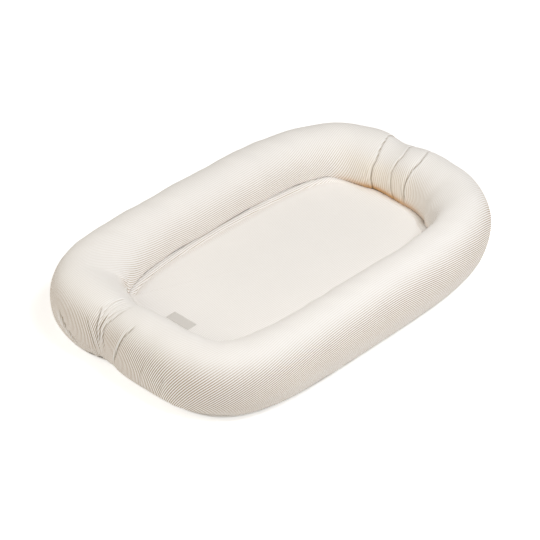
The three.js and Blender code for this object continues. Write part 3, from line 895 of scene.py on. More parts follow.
def new_group(name, inputs, outputs):
    """A shader group that takes a vector and numbers, with their defaults, and gives numbers."""
    group = bpy.data.node_groups.new(name, "ShaderNodeTree")
    group.interface.new_socket("Vector", in_out="INPUT", socket_type="NodeSocketVector")
    for socket, default in inputs.items():
        made = group.interface.new_socket(socket, in_out="INPUT", socket_type="NodeSocketFloat")
        made.default_value = default
    for socket in outputs:
        group.interface.new_socket(socket, in_out="OUTPUT", socket_type="NodeSocketFloat")
    return group, put(group, "NodeGroupInput").outputs, put(group, "NodeGroupOutput").inputs


def make_stripes_group():
    """Yarn-dyed stripes across the second axis of the cut: 1 on a stripe, 0 between."""
    inputs = {"Pitch": STRIPE_PITCH, "Share": STRIPE_SHARE}
    group, given, result = new_group("woven_stripes", inputs, ["Stripe"])
    parts = put(group, "ShaderNodeSeparateXYZ", {0: given["Vector"]})
    turns = maths(group, "DIVIDE", parts.outputs["Y"], given["Pitch"])
    share = maths(group, "FRACT", turns)
    apart = maths(group, "ABSOLUTE", maths(group, "SUBTRACT", share, 0.5))
    half = maths(group, "MULTIPLY", given["Share"], 0.5)
    edge = [maths(group, operation, half, STRIPE_EDGE) for operation in ("SUBTRACT", "ADD")]
    group.links.new(ramp(group, apart, edge, (1.0, 0.0), "SMOOTHSTEP"), result["Stripe"])
    return group


def make_weave_group():
    """Height of a plain weave: threads that pass over and under each other."""
    group, given, result = new_group("plain_weave", {"Thread": 0.35 * MM}, ["Height"])
    parts = put(group, "ShaderNodeSeparateXYZ", {0: given["Vector"]})
    sines = []
    for axis in ("X", "Y"):
        turns = maths(group, "DIVIDE", parts.outputs[axis], given["Thread"])
        sines.append(maths(group, "SINE", maths(group, "MULTIPLY", turns, math.pi)))
    crossed = maths(group, "MULTIPLY", *sines)
    height = maths(group, "ADD", maths(group, "MULTIPLY", crossed, 0.5), 0.5)
    group.links.new(height, result["Height"])
    return group


def make_slub_group():
    """Uneven yarn: a value near 1 that varies finely along the threads and broadly over all."""
    inputs = {"Size": 12 * MM, "Amount": 0.05}
    group, given, result = new_group("uneven_yarn", inputs, ["Tone", "Noise"])
    scale = maths(group, "DIVIDE", 1.0, given["Size"])
    values = {"Vector": given["Vector"], "Scale": scale, "Detail": 3.0, "Roughness": 0.6}
    noise = put(group, "ShaderNodeTexNoise", values).outputs[0]
    swing = maths(group, "MULTIPLY", maths(group, "SUBTRACT", noise, 0.5), given["Amount"])
    group.links.new(maths(group, "ADD", swing, 1.0), result["Tone"])
    group.links.new(noise, result["Noise"])
    return group


def make_top_light_fade_group():
    """How strongly the dyed yarn shows: less where the cloth faces up, painted light from above."""
    inputs = {"Below": 1.0, "Above": 0.16}
    group, given, result = new_group("top_light_stripe_fade", inputs, ["Strength"])
    up = put(group, "ShaderNodeSeparateXYZ", {0: given["Vector"]}).outputs["Z"]
    strength = ramp(group, up, (0.22, 0.96), (given["Below"], given["Above"]), "SMOOTHSTEP")
    group.links.new(strength, result["Strength"])
    return group


STRIPES_GROUP = make_stripes_group()
TOP_LIGHT_FADE_GROUP = make_top_light_fade_group()
WEAVE_GROUP = make_weave_group()
SLUB_GROUP = make_slub_group()


def use_group(tree, group, vector, **values):
    values = {"Vector": vector, **values}
    return put(tree, "ShaderNodeGroup", values, node_tree=group).outputs


def uneven(tree, vector, size, amount):
    return use_group(tree, SLUB_GROUP, vector, Size=size, Amount=amount)


def new_material(name, roughness, sheen=0.0, metallic=0.0):
    material = bpy.data.materials.new(name)
    material.use_nodes = True
    surface = material.node_tree.nodes["Principled BSDF"]
    surface.inputs["Roughness"].default_value = roughness
    surface.inputs["Metallic"].default_value = metallic
    surface.inputs["Sheen Weight"].default_value = sheen
    surface.inputs["Sheen Roughness"].default_value = 0.6
    return material, material.node_tree


def dress_surface(tree, **links):
    """Links values to the sockets of the material's surface."""
    surface = tree.nodes["Principled BSDF"]
    for name, value in links.items():
        tree.links.new(value, surface.inputs[name.replace("_", " ").title()])


def striped_cotton():
    material, tree = new_material("striped_cotton", roughness=0.88, sheen=0.12)
    cut = put(tree, "ShaderNodeUVMap", uv_map="cut").outputs[0]
    spot = on_object(tree)
    stripe = use_group(tree, STRIPES_GROUP, cut)["Stripe"]
    # The tan stripes fade where the cloth faces up: painted light from above.
    normal = put(tree, "ShaderNodeNewGeometry").outputs["Normal"]
    faded_by_top_light = use_group(tree, TOP_LIGHT_FADE_GROUP, normal)["Strength"]
    # The carried stripe fade paints the inner wall, the near side's low part and the folds' lips
    # lighter; on the panel's rim it is below 0 and shows the stripes clearer
    clear = maths(tree, "SUBTRACT", 1.0, carried(tree, "stripe_fade"))
    share = maths(tree, "MULTIPLY", stripe, maths(tree, "MULTIPLY", faded_by_top_light, clear))
    colour = blend_colours(tree, share, WHITE_YARN, TAN_YARN)
    # Blends in the carried painted shade: in the seam, in the folds' creases, and warm shade and
    # bounce light on the head's inner wall
    for name, shade in CARRIED_SHADES.items():
        colour = blend_colours(tree, carried(tree, name), colour, shade)
    colour = toned(tree, colour, uneven(tree, cut, size=1.6 * MM, amount=0.10)["Tone"])
    colour = toned(tree, colour, uneven(tree, spot, size=60 * MM, amount=0.03)["Tone"])
    threads = use_group(tree, WEAVE_GROUP, cut)["Height"]
    crumple = uneven(tree, spot, size=22 * MM, amount=1.0)["Noise"]
    soft = bump(tree, crumple, distance=0.9 * MM, strength=0.5)
    woven = bump(tree, threads, distance=0.05 * MM, strength=0.6, under=soft)
    ribbed = bump(tree, stripe, distance=0.05 * MM, strength=0.5, under=woven)
    dress_surface(tree, base_color=colour, normal=ribbed)
    return material


def plain_cloth(name, colour, thread, roughness=0.9, crumple_size=18 * MM):
    material, tree = new_material(name, roughness, sheen=0.1)
    spot = on_object(tree)
    yarn = uneven(tree, spot, size=4 * thread, amount=0.14)["Tone"]
    broad = uneven(tree, spot, size=50 * MM, amount=0.04)["Tone"]
    colour = toned(tree, colour, maths(tree, "MULTIPLY", yarn, broad))
    threads = use_group(tree, WEAVE_GROUP, spot, Thread=thread)["Height"]
    crumple = uneven(tree, spot, size=crumple_size, amount=1.0)["Noise"]
    soft = bump(tree, crumple, distance=0.8 * MM, strength=0.5)
    woven = bump(tree, threads, distance=thread / 5, strength=0.8, under=soft)
    dress_surface(tree, base_color=colour, normal=woven)
    return material


def fibre_material():
    material, tree = new_material("fibre_filling", roughness=0.95, sheen=0.3)
    spot = on_object(tree)
    tufts = uneven(tree, spot, size=9 * MM, amount=0.12)
    strands = uneven(tree, spot, size=0.9 * MM, amount=0.12)
    colour = toned(tree, FIBRE_WHITE, maths(tree, "MULTIPLY", tufts["Tone"], strands["Tone"]))
    soft = bump(tree, tufts["Noise"], distance=2.5 * MM, strength=0.7)
    fuzzy = bump(tree, strands["Noise"], distance=0.4 * MM, strength=0.8, under=soft)
    dress_surface(tree, base_color=colour, normal=fuzzy)
    return material


def moulded_plastic():
    material, tree = new_material("zip_plastic", roughness=0.42)
    grain = uneven(tree, on_object(tree), size=0.8 * MM, amount=0.08)
    fine = bump(tree, grain["Noise"], distance=0.02 * MM, strength=0.6)
    dress_surface(tree, base_color=toned(tree, PLASTIC_WHITE, grain["Tone"]), normal=fine)
    return material


def satin_nickel():
    material, tree = new_material("zip_metal", roughness=0.34, metallic=1.0)
    spot = on_object(tree)
    values = {"Vector": spot, "Scale": (1.0, 12.0, 12.0)}
    brushed = put(tree, "ShaderNodeMapping", values).outputs[0]
    lines = uneven(tree, brushed, size=2 * MM, amount=0.16)
    worn = uneven(tree, spot, size=3 * MM, amount=0.10)
    colour = toned(tree, NICKEL, maths(tree, "MULTIPLY", lines["Tone"], worn["Tone"]))
    rough = ramp(tree, worn["Noise"], (0.0, 1.0), (0.24, 0.44))
    fine = bump(tree, lines["Noise"], distance=0.01 * MM, strength=0.5)
    dress_surface(tree, base_color=colour, roughness=rough, normal=fine)
    return material


STRIPED_COTTON = striped_cotton()
COVER_COTTON = plain_cloth("plain_cotton", PLAIN_COTTON, 0.4 * MM)
PAD_COTTON = plain_cloth("mattress_pad", PAD_WHITE, 0.5 * MM, crumple_size=30 * MM)
LABEL_COTTON = plain_cloth("label_cotton", LABEL_GREY, 0.5 * MM, 0.8, crumple_size=8 * MM)
ZIP_TAPE = plain_cloth("zip_tape", TAPE_WHITE, 0.7 * MM, roughness=0.8)
SEWING_THREAD = plain_cloth("sewing_thread", THREAD_WHITE, 0.15 * MM, roughness=0.7)
FILLING_FIBRE = fibre_material()
ZIP_PLASTIC = moulded_plastic()
ZIP_METAL = satin_nickel()


# Soft pieces


def cover_shades(s, angle):
    """What the cover's cloth carries from point to point: its painted shade and light, and how its
    stripes show.
    """
    to_seam = walked_at_angle(angle) - walked_at_angle(inner_seam_angle(s))
    past_hidden = np.maximum(to_seam - SEAM_SHADE_HIDDEN, 0)
    deep = np.interp(along_end(s, 0, 1) / MM, SEAM_SHADE_PLACES, SEAM_SHADES)
    inner = smoothstep(np.degrees(angle), *INNER_WALL_ANGLES)
    low = smoothstep(-np.degrees(angle), *LOW_SIDE_ANGLES)
    low = low * along_line(s, LOW_SIDE_PLACES, [0, 1, 1, 0])
    fade = along_line(s, INNER_WALL_FADE_PLACES, INNER_WALL_FADES)
    kept = (1 - fade * inner) * (1 - LOW_SIDE_FADE * low)
    closed, lip = fold_shades(s, angle)
    # Painted light and shade: warm shade in the seam and on the head's inner wall, shade in the
    # folds' creases, and stripes faded to paint the inner wall, the near side's low part and the
    # folds' lips lighter
    return {
        "seam_shade": deep * np.exp(-past_hidden / SEAM_SHADE_REACH),
        "wall_warm_shade": WALL_WARM_SHADE_SHARE * deep * inner,
        "fold_shade": FOLD_SHADE_SHARE * closed,
        "stripe_fade": 1 - kept * (1 - LIP_FADE * lip),
    }


def make_roll_cover():
    head = (*HEAD_ZONE, GATHER_STATION_STEP)
    foot = (HALF_WALK + FOOT_ZONE[0], FOOT_ZONE[1], GATHER_STATION_STEP)
    places = station_places(COVER_STATION_STEP, head, foot)
    s, angle = cover_grid(places, COVER_ROWS)
    face = roll_surface(s, angle, cover_relief(s, angle))
    every = (COVER_ROWS - 1) // (COVER_INNER_ROWS - 1)
    under = face - FABRIC_THICKNESS * grid_normals(face, True, COVER_ROWS // 2)
    cut = roll_cut(s, angle)
    shades = {
        name: both_faces(values, values[:, ::every])
        for name, values in cover_shades(s, angle).items()
    }
    loops, cut_loops = both_faces(face, under[:, ::every]), both_faces(cut, cut[:, ::every])
    piece = ring_mesh("roll_cover_cloth", loops, cut_loops, shades=shades)
    finish_piece(piece, STRIPED_COTTON, "striped_cotton", "roll_cover")


def filling_lift(s, angle, from_end):
    """How far the filling stands off the section: under the cover, and rounded at its ends."""
    tufts = waves(s + FILLING_LEAN * np.sin(3 * angle), "tufts") - FILLING_SINK
    stuffed = np.minimum(cover_relief(s, angle), FILLING_HIGHEST)
    open_share = 1 - np.clip(from_end / FILLING_ROUNDING, 0, 1)
    shrink = 1 - np.sqrt(np.clip(1 - open_share**2, 0, 1))
    return stuffed - FABRIC_THICKNESS - 2 * SOFT_GAP + tufts - shrink[:, None] * FILLING_TAPER


def make_roll_filling(side):
    span = HALF_WALK - side * 2 * GATHER_OFFSET
    start = GATHER_OFFSET if side > 0 else HALF_WALK - GATHER_OFFSET
    near = np.linspace(0, FILLING_END, 26)[:-1]
    middle = np.linspace(FILLING_END, span - FILLING_END, 150)
    along = np.concatenate([near, middle, (span - near)[::-1]])
    along = np.clip(along, FILLING_INSET, span - FILLING_INSET)
    ends = walked_at_angle(-FOOTPRINT_ANGLE), walked_at_angle(np.pi + FOOTPRINT_ANGLE)
    angle = angle_at_walked(np.linspace(*ends, FILLING_ROWS))
    s, angle = spread(start + along, FILLING_ROWS), np.repeat(angle[None, :], len(along), axis=0)
    lift = filling_lift(s, angle, np.minimum(along, span - along))
    face = roll_surface(s, angle, lift, FABRIC_THICKNESS + SOFT_GAP)
    name = side_name(side)
    piece = ring_mesh(f"roll_filling_fibre_{name}", face, closed_run=False)
    finish_piece(piece, FILLING_FIBRE, "fibre_filling", f"roll_filling_{name}")


def channel_path(s, depth):
    """The lining's path from just under the inner seam to just above the base."""
    inner = inner_seam_angle(s)[:, None]
    share = np.linspace(*LINING_SHARES, LINING_ROWS)[None, :]
    angle = inner + (np.pi + FOOTPRINT_ANGLE - inner) * share
    s = spread(s, LINING_ROWS)
    lift = waves(s, "lining") - depth - LINING_GAP
    return roll_surface(s, angle, lift, LINING_LOWEST)


def make_channel_lining():
    s = station_places(PAD_STATION_STEP)
    loops = both_faces(channel_path(s, 0), channel_path(s, FABRIC_THICKNESS))
    piece = ring_mesh("channel_lining_cloth", loops)
    finish_piece(piece, COVER_COTTON, "plain_cotton", "channel_lining")


def crown_lift(share):
    return MATTRESS_CROWN * (1 - share**2)


def towards_middle(ring, shares, height):
    """Smaller rings inside a flat one, each at the height that its share of the size gives."""
    return [ring * (share, share, 0) + (0, 0, height(share)) for share in shares]


def rounded_path(points, corner, steps=5):
    """Rounds the inner corners of a path whose points each hold one value per station."""
    rounded = [points[0]]
    for before, here, after in zip(points, points[1:], points[2:]):
        come, leave = here - before, after - here
        come_length = np.linalg.norm(come, axis=-1, keepdims=True)
        leave_length = np.linalg.norm(leave, axis=-1, keepdims=True)
        cut = np.minimum(corner, 0.45 * np.minimum(come_length, leave_length))
        start, end = here - come / come_length * cut, here + leave / leave_length * cut
        for t in np.linspace(0, 1, steps):
            rounded.append((1 - t) ** 2 * start + 2 * t * (1 - t) * here + t**2 * end)
    rounded.append(points[-1])
    return rounded


def make_mattress():
    s = station_places(PAD_STATION_STEP)
    edge = pad_edge(s)
    rim = edge - 2 * MATTRESS_CHAMFER
    top, bottom = MATTRESS_EDGE_HEIGHT, MATTRESS_BOTTOM_HEIGHT
    middle = (top + bottom) / 2
    drawn = edge - MATTRESS_SIDE_DRAW
    corners = [(rim, top), (edge, top), (drawn, middle), (edge, bottom), (rim, bottom)]
    section_path = [place(s, across, np.full_like(s, height)) for across, height in corners]
    side = rounded_path(section_path, PAD_CORNER)
    crown = towards_middle(side[0], np.linspace(0, 1, 14)[:-1], lambda t: top + crown_lift(t))
    below = towards_middle(side[-1], np.linspace(1, 0, 8)[1:], lambda t: bottom)
    loops = np.stack(crown + side + below, axis=1)
    puff = PAD_PUFF * (quilted(loops, PAD_PUFF_LENGTHS) - 1)
    loops[..., 2] += np.where(loops[..., 2] > middle, puff, 0)
    piece = ring_mesh("mattress_pad", loops)
    finish_piece(piece, PAD_COTTON, "mattress_pad", "mattress")


def panel_height(share):
    return MATTRESS_EDGE_HEIGHT + 2 * SOFT_GAP + crown_lift(share)


def panel_underside(s):
    """The panel's lower face, from the seam down to the pad's edge and over its crown, and how
    far each point lies from the seam."""
    x, _ = centre_at(s)
    filled = FOOT_FILL * smoothstep(-x / CENTRE_HALF_LENGTH, FOOT_FILLED_FROM, 1)
    edge, level = pad_edge(s), np.full_like(s, panel_height(1))
    seam = roll_surface(s, inner_seam_angle(s), PANEL_SEAM_GAP)
    foot = place(s, edge, level - MATTRESS_CHAMFER * (1 - filled))
    rim = place(s, edge - MATTRESS_CHAMFER, level)
    inside = towards_middle(rim, [PANEL_RIM_SHARE], panel_height)
    path = rounded_path([seam, foot, rim, *inside], PANEL_CORNER, 6)
    shares = [*np.linspace(0.95, 0.1, 26), 0.05, 0]
    under = np.stack(path + towards_middle(rim, shares, panel_height), axis=1)
    from_seam = np.linalg.norm(under - under[:, :1], axis=-1)
    pulled = waves(spread(s, under.shape[1]), "panel") * np.exp(-from_seam / PANEL_PULL_REACH)
    slack = np.maximum(PANEL_SLACK * quilted(under, PANEL_SLACK_LENGTHS, 1), 0)
    under[..., 2] += pulled * smoothstep(from_seam, 0, PANEL_PULL_START) + slack
    return under, from_seam


def panel_shades(s, walked):
    clear = along_line(s, RIM_STRIPE_PLACES, [0, 1, 1, 0])[:, None]
    clear = RIM_STRIPE_GAIN * clear * (1 - smoothstep(walked, *RIM_STRIPE_REACH))
    return {"stripe_fade": both_faces(-clear, -clear)}


def make_lying_panel():
    s = station_places(PANEL_STATION_STEP, PANEL_HEAD_ZONE)
    under, from_seam = panel_underside(s)
    outward = np.stack([*outward_at(s), np.zeros_like(s)], axis=-1)[:, None, :]
    lean = PANEL_LEAN * outward * np.exp(-from_seam / PANEL_LEAN_REACH)[..., None]
    above = under + FABRIC_THICKNESS * (np.array([0, 0, 1]) - lean)
    walked = walked_across(under)
    flat_edge = slice(PANEL_FLAT_COLUMN, PANEL_FLAT_COLUMN + 1)
    beyond = np.maximum(walked[:, flat_edge] - walked, 0)[..., None]
    laid = under[:, flat_edge, :2] + outward[..., :2] * beyond
    cut = np.where(beyond > 0, laid, under[..., :2])
    loops, cut_loops = both_faces(under, above), both_faces(cut, cut)
    piece = ring_mesh("lying_panel_cloth", loops, cut_loops, shades=panel_shades(s, walked))
    finish_piece(piece, STRIPED_COTTON, "striped_cotton", "lying_panel")


LABEL_MIDDLE_X = LABEL_EDGE_DISTANCE - (
    CENTRE_HALF_LENGTH - ROLL_WIDTH / 2 - MATTRESS_INSETS[2]
)


def label_height(x):
    share = np.abs(x) / (LABEL_EDGE_DISTANCE - LABEL_MIDDLE_X - MATTRESS_CHAMFER)
    return panel_height(share) + FABRIC_THICKNESS + SOFT_GAP


def make_label():
    x = np.linspace(-LABEL_WIDTH / 2, LABEL_WIDTH / 2, 15)[:, None]
    y = np.linspace(-LABEL_LENGTH / 2, LABEL_LENGTH / 2, 37)[None, :]
    x, y = np.broadcast_arrays(x, y)
    edge = np.minimum(LABEL_WIDTH / 2 - np.abs(x), LABEL_LENGTH / 2 - np.abs(y))
    sunk = LABEL_SUNK * np.exp(-edge / LABEL_SUNK_REACH)
    ripple = LABEL_RIPPLE * np.sin(y / LABEL_RIPPLE_LENGTH) * np.exp(-edge / LABEL_RIPPLE_REACH)
    under = np.stack([LABEL_MIDDLE_X + x, y, label_height(LABEL_MIDDLE_X + x)], axis=-1)
    above = under.copy()
    above[..., 2] += LABEL_THICKNESS - sunk + ripple
    piece = ring_mesh("label_tape", both_faces(under, above), closed_run=False)
    finish_piece(piece, LABEL_COTTON, "label_cotton", "label")


def zip_line(side, s):
    """Where each station of one half of the base meets the line of the zip."""
    walked = s - s[0]
    end = ZIP_LENGTH / 2 + ZIP_LINE_OVERHANG
    x = side * end * (1 - 2 * walked / HALF_WALK)
    window = ZIP_LENGTH / 2 + ZIP_WINDOW_OVERHANG
    for sign in (-1, 1):
        x[np.argmin(np.abs(x - sign * window))] = sign * window
    inside = np.abs(x) <= window + 1e-9
    y = side * np.where(inside, ZIP_WINDOW_HALF_WIDTH, BASE_PANEL_SPLIT / 2)
    return x, y


def keep_to_side(points, side):
    """Keeps points off the middle line, where the two halves of the base are sewn together."""
    points[..., 1] = side * np.maximum(side * points[..., 1], BASE_PANEL_SPLIT / 2)


def base_corners(side, s):
    """The lines along which one half of the base turns, from the zip to the outer seam."""
    x, y = zip_line(side, s)
    at_zip = ZIP_HEIGHT - TAPE_THICKNESS / 2 - SOFT_GAP - FABRIC_THICKNESS
    rim_height = MATTRESS_BOTTOM_HEIGHT - SOFT_GAP - 2 * FABRIC_THICKNESS
    line = np.stack([x, y, np.full_like(s, at_zip)], axis=-1)
    rim = place(s, mattress_edge(s) - MATTRESS_CHAMFER, np.full_like(s, rim_height))
    flat = line + (rim - line) * BASE_PANEL_FLAT_SHARE
    flat[:, 2] = line[:, 2]
    inner = roll_surface(s, np.pi + FOOTPRINT_ANGLE, 0)
    outer = roll_surface(s, 2 * np.pi - FOOTPRINT_ANGLE, 0)
    seam = roll_surface(s, OUTER_SEAM_ANGLE, 0)
    down = outer - seam
    seam = seam + down * (SEAM_GAP / np.linalg.norm(down, axis=-1, keepdims=True))
    corners = [line, flat, rim, inner, outer, seam]
    for points in corners:
        keep_to_side(points, side)
    return corners


def make_base_panel(side):
    start = 0 if side > 0 else HALF_WALK
    s = start + np.linspace(0, HALF_WALK, BASE_STATIONS)
    corners = base_corners(side, s)
    line, flat, _, _, outer, seam = corners
    path = [line + (flat - line) * t for t in np.linspace(0, 0.98, 6)]
    path += rounded_path(corners[1:5], BASE_CORNER)
    path += [outer + (seam - outer) * t for t in np.linspace(0.2, 1, 4)]
    under = np.stack(path, axis=1)
    normal = grid_normals(under, False, slice(None))
    slack = waves(spread(s, under.shape[1]), "base")
    for points, reach in ((line, BASE_SLACK_FROM_ZIP), (seam, BASE_SLACK_FROM_SEAM)):
        slack *= smoothstep(np.linalg.norm(under - points[:, None, :], axis=-1), *reach)
    under[..., 2] = np.maximum(under[..., 2] + slack, 0)
    above = under + normal * FABRIC_THICKNESS
    keep_to_side(above, side)
    name = side_name(side)
    piece = ring_mesh(f"base_panel_cloth_{name}", both_faces(under, above), closed_run=False)
    finish_piece(piece, COVER_COTTON, "plain_cotton", f"base_panel_{name}")


def make_zip_tape(side):
    half = ZIP_LENGTH / 2 + TAPE_OVERHANG
    x = np.linspace(-half, half, 261)[:, None]
    share = np.linspace(0, 1, 14)[None, :]
    beside_teeth = BEAD_OUTER + SOFT_GAP
    outer = beside_teeth + TAPE_WIDTH
    closing = smoothstep(np.abs(x) + np.where(x < 0, BOTTOM_STOP_NEARER, 0), *TAPE_CLOSING)
    inner = beside_teeth + (BASE_PANEL_SPLIT / 2 - beside_teeth) * closing
    x, y, share = np.broadcast_arrays(x, side * (inner + (outer - inner) * share), share)
    rib = RIB_HEIGHT * np.cos(8 * np.pi * share)
    half_thickness = TAPE_THICKNESS / 2 - RIB_HEIGHT
    under = np.stack([x, y, ZIP_HEIGHT + rib - half_thickness], axis=-1)
    above = np.stack([x, y, ZIP_HEIGHT + rib + half_thickness], axis=-1)
    name = side_name(side)
    piece = ring_mesh(f"zip_tape_woven_{name}", both_faces(under, above), closed_run=False)
    finish_piece(piece, ZIP_TAPE, "zip_tape", f"zip_tape_{name}")


# Sewn rows, made by Geometry Nodes


def make_stitch_tree():
    """Stitches of one length, laid end to end with a gap along a curve."""
    tree = bpy.data.node_groups.new("stitch_row", "GeometryNodeTree")
    kinds = {"Path": "Geometry", "Pitch": "Float", "Length": "Float", "Thread": "Float"}
    for name, kind in {**kinds, "Material": "Material"}.items():
        tree.interface.new_socket(name, in_out="INPUT", socket_type=f"NodeSocket{kind}")
    tree.interface.new_socket("Stitches", in_out="OUTPUT", socket_type="NodeSocketGeometry")
    given = put(tree, "NodeGroupInput").outputs
    along = {"Curve": given["Path"], "Length": given["Pitch"]}
    points = put(tree, "GeometryNodeCurveToPoints", along, mode="LENGTH").outputs
    ball = {"Segments": 6, "Rings": 5, "Radius": 1.0}
    thread = put(tree, "GeometryNodeMeshUVSphere", ball).outputs["Mesh"]
    half_length = maths(tree, "MULTIPLY", given["Length"], 0.5)
    half_thread = maths(tree, "MULTIPLY", given["Thread"], 0.5)
    sizes = {"X": half_thread, "Y": half_thread, "Z": half_length}
    laid = {
        "Points": points["Points"],
        "Instance": thread,
        "Rotation": points["Rotation"],
        "Scale": put(tree, "ShaderNodeCombineXYZ", sizes).outputs[0],
    }
    stitches = put(tree, "GeometryNodeInstanceOnPoints", laid).outputs["Instances"]
    real = put(tree, "GeometryNodeRealizeInstances", {"Geometry": stitches}).outputs["Geometry"]
    dressing = {"Geometry": real, "Material": given["Material"]}
    dressed = put(tree, "GeometryNodeSetMaterial", dressing).outputs["Geometry"]
    put(tree, "NodeGroupOutput", {"Stitches": dressed})
    return tree


STITCH_TREE = make_stitch_tree()


def sew(name, path, slot, sizes):
    """A closed row of stitches along a path, as a plain mesh."""
    curve = bpy.data.curves.new(name, "CURVE")
    curve.dimensions = "3D"
    spline = curve.splines.new("POLY")
    spline.points.add(len(path) - 1)
    for point, (x, y, z) in zip(spline.points, path):
        point.co = (x, y, z, 1)
    spline.use_cyclic_u = True
    guide = new_object(f"{name}_path", curve)
    modifier = guide.modifiers.new("stitches", "NODES")
    modifier.node_group = STITCH_TREE
    sockets = {socket.name: socket.identifier for socket in STITCH_TREE.interface.items_tree}
    for key, value in {**sizes, "Material": SEWING_THREAD}.items():
        modifier[sockets[key]] = value
    seen = guide.evaluated_get(bpy.context.evaluated_depsgraph_get())
    mesh = bpy.data.meshes.new_from_object(seen)
    bpy.data.objects.remove(guide)
    mesh.name = name
    for polygon in mesh.polygons:
        polygon.use_smooth = True
    finish_piece(new_object(name, mesh), SEWING_THREAD, slot)


def rectangle_path(half_x, half_y, step):
    """Corners and points in between of a rectangle round the origin."""
    corners = [(half_x, half_y), (-half_x, half_y), (-half_x, -half_y), (half_x, -half_y)]
    path = []
    for (x0, y0), (x1, y1) in zip(corners, corners[1:] + corners[:1]):
        count = max(1, round(math.hypot(x1 - x0, y1 - y0) / step))
        path += [(x0 + (x1 - x0) * i / count, y0 + (y1 - y0) * i / count) for i in range(count)]
    return path


def sew_label():
    inset = 1.8 * MM
    sizes = {"Pitch": 2.6 * MM, "Length": 2.0 * MM, "Thread": 0.38 * MM}
    half_x, half_y = LABEL_WIDTH / 2 - inset, LABEL_LENGTH / 2 - inset
    path = []
    for x, y in rectangle_path(half_x, half_y, STITCH_SPACING):
        height = float(label_height(LABEL_MIDDLE_X + x)) + LABEL_THICKNESS
        path.append((LABEL_MIDDLE_X + x, y, height + 0.02 * MM))
    sew("label_stitches", path, "label_cotton", sizes)


def sew_zip_window():
    away = 3 * MM
    half_x = ZIP_LENGTH / 2 + ZIP_WINDOW_OVERHANG + away
    half_y = ZIP_WINDOW_HALF_WIDTH + away
    height = ZIP_HEIGHT - TAPE_THICKNESS / 2 - SOFT_GAP - FABRIC_THICKNESS
    sizes = {"Pitch": 3.2 * MM, "Length": 2.5 * MM, "Thread": 0.42 * MM}
    path = [(x, y, height) for x, y in rectangle_path(half_x, half_y, STITCH_SPACING)]
    sew("zip_window_stitches", path, "plain_cotton", sizes)


def dress_hardware():
    plastic = ("teeth_left", "teeth_right", "top_stop_left", "top_stop_right", "bottom_stop")
    for names, material in ((plastic, ZIP_PLASTIC), (("slider", "pull"), ZIP_METAL)):
        for name in names:
            for slot in bpy.data.objects[f"zip_{name}"].material_slots:
                slot.material = material


# Stage, light and camera

FLOOR_REACH = 12
GLOW_PLACES = (0.6, 2.4)
GLOW_STRENGTHS = (0.5, 1.0)
UNDERSIDE_REACH = 12 * MM
SOFTBOX_SIZE = (1.6, 1.2)
CAMERA_LENS = 158.54
CAMERA_SHIFT = (-0.02136, -0.02139)
CAMERA_DISTANCE = 4.5
CAMERA_WAY = (-0.5907, -0.5658, 0.5752)
CAMERA_AIM = (0, 0, 0.060)
CAMERA_TILT = 35.1154
CAMERA_TURN = -46.2317


def seen_as_it_is(tree, rays):
    """1 for the rays that show the stage itself: straight from the camera, mirrored or through."""
    others = maths(tree, "MAXIMUM", rays["Is Glossy Ray"], rays["Is Transmission Ray"])
    return maths(tree, "MAXIMUM", rays["Is Camera Ray"], others)


def mixed(tree, share, first, second):
    return put(tree, "ShaderNodeMixShader", {0: share, 1: first, 2: second}).outputs[0]


def floor_face(tree, rays):
    """The floor from above: matt for the light, and whiter the further out for the eye."""
    matt = put(tree, "ShaderNodeBsdfDiffuse", {"Color": FLOOR_COLOUR}).outputs[0]
    white = put(tree, "ShaderNodeBsdfDiffuse", {"Color": SEEN_FLOOR_COLOUR}).outputs[0]
    distance = put(tree, "ShaderNodeVectorMath", {0: on_object(tree)}, operation="LENGTH")
    strength = ramp(tree, distance.outputs["Value"], GLOW_PLACES, GLOW_STRENGTHS)
    glow = put(tree, "ShaderNodeEmission", {"Strength": strength}).outputs[0]
    lit = put(tree, "ShaderNodeAddShader", {0: white, 1: glow}).outputs[0]
    return mixed(tree, seen_as_it_is(tree, rays), matt, lit)


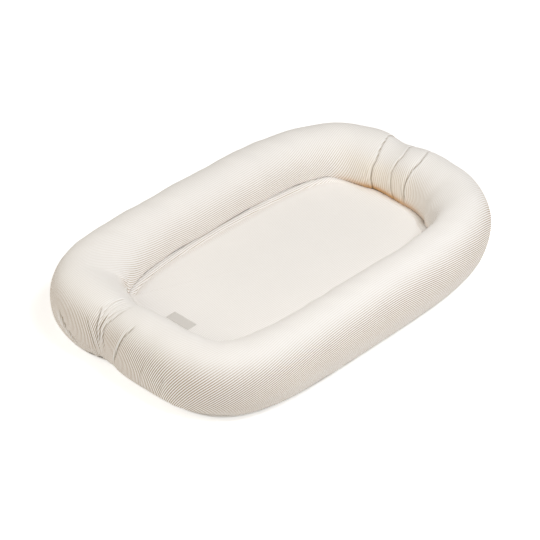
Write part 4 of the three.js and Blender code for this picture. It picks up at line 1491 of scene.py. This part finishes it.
def make_floor():
    """A pale floor that can be seen through from below, and that lets light on to the underside."""
    mesh = bpy.data.meshes.new("floor")
    corners = [(-1, -1, 0), (1, -1, 0), (1, 1, 0), (-1, 1, 0)]
    mesh.from_pydata([Vector(corner) * FLOOR_REACH for corner in corners], [], [(0, 1, 2, 3)])
    material = bpy.data.materials.new("pale_floor")
    material.use_nodes = True
    tree = material.node_tree
    tree.nodes.clear()
    rays = put(tree, "ShaderNodeLightPath").outputs
    clear = put(tree, "ShaderNodeBsdfTransparent").outputs[0]
    behind = put(tree, "ShaderNodeNewGeometry").outputs["Backfacing"]
    short = maths(tree, "LESS_THAN", rays["Ray Length"], UNDERSIDE_REACH)
    under = maths(tree, "MULTIPLY", short, rays["Is Diffuse Ray"])
    passing = maths(tree, "MAXIMUM", behind, under)
    both = mixed(tree, passing, floor_face(tree, rays), clear)
    put(tree, "ShaderNodeOutputMaterial", {"Surface": both})
    mesh.materials.append(material)
    new_object("floor", mesh)


def hang_softbox(name, where, energy, colour=(1, 1, 1)):
    lamp = bpy.data.lights.new(name, "AREA")
    lamp.shape = "RECTANGLE"
    lamp.size, lamp.size_y = SOFTBOX_SIZE
    lamp.energy, lamp.color = energy, colour
    holder = new_object(name, lamp)
    holder.location = where
    holder.rotation_euler = (-holder.location).to_track_quat("-Z", "Y").to_euler()


def make_light():
    world = bpy.data.worlds.new("studio")
    bpy.context.scene.world = world
    world.use_nodes = True
    tree = world.node_tree
    tree.nodes.clear()
    soft = put(tree, "ShaderNodeBackground", {"Color": (*WARM_LIGHT, 1), "Strength": 0.33})
    white = put(tree, "ShaderNodeBackground", {"Color": (1, 1, 1, 1), "Strength": 1.0})
    direct = seen_as_it_is(tree, put(tree, "ShaderNodeLightPath").outputs)
    both = mixed(tree, direct, soft.outputs[0], white.outputs[0])
    put(tree, "ShaderNodeOutputWorld", {"Surface": both})
    hang_softbox("key_softbox", (0.2, -1.5, 2.5), 46)
    hang_softbox("low_softbox", (0.6, -2.6, 0.9), 3)
    hang_softbox("foot_softbox", (-2.0, 0.8, 1.5), 15, WARM_LIGHT)


def make_camera():
    data = bpy.data.cameras.new("camera")
    data.lens = CAMERA_LENS
    data.sensor_width = 36
    data.shift_x, data.shift_y = CAMERA_SHIFT
    camera = new_object("camera", data)
    camera.location = Vector(CAMERA_AIM) + CAMERA_DISTANCE * Vector(CAMERA_WAY)
    camera.rotation_euler = (math.radians(90 - CAMERA_TILT), 0, math.radians(CAMERA_TURN))
    bpy.context.scene.camera = camera


make_camera()
make_light()
make_floor()
make_mattress()
make_lying_panel()
make_roll_cover()
make_channel_lining()
make_label()
sew_label()
for side in (1, -1):
    make_roll_filling(side)
    make_base_panel(side)
    make_zip_tape(side)
sew_zip_window()
dress_hardware()
bpy.context.scene.view_settings.view_transform = "Standard"
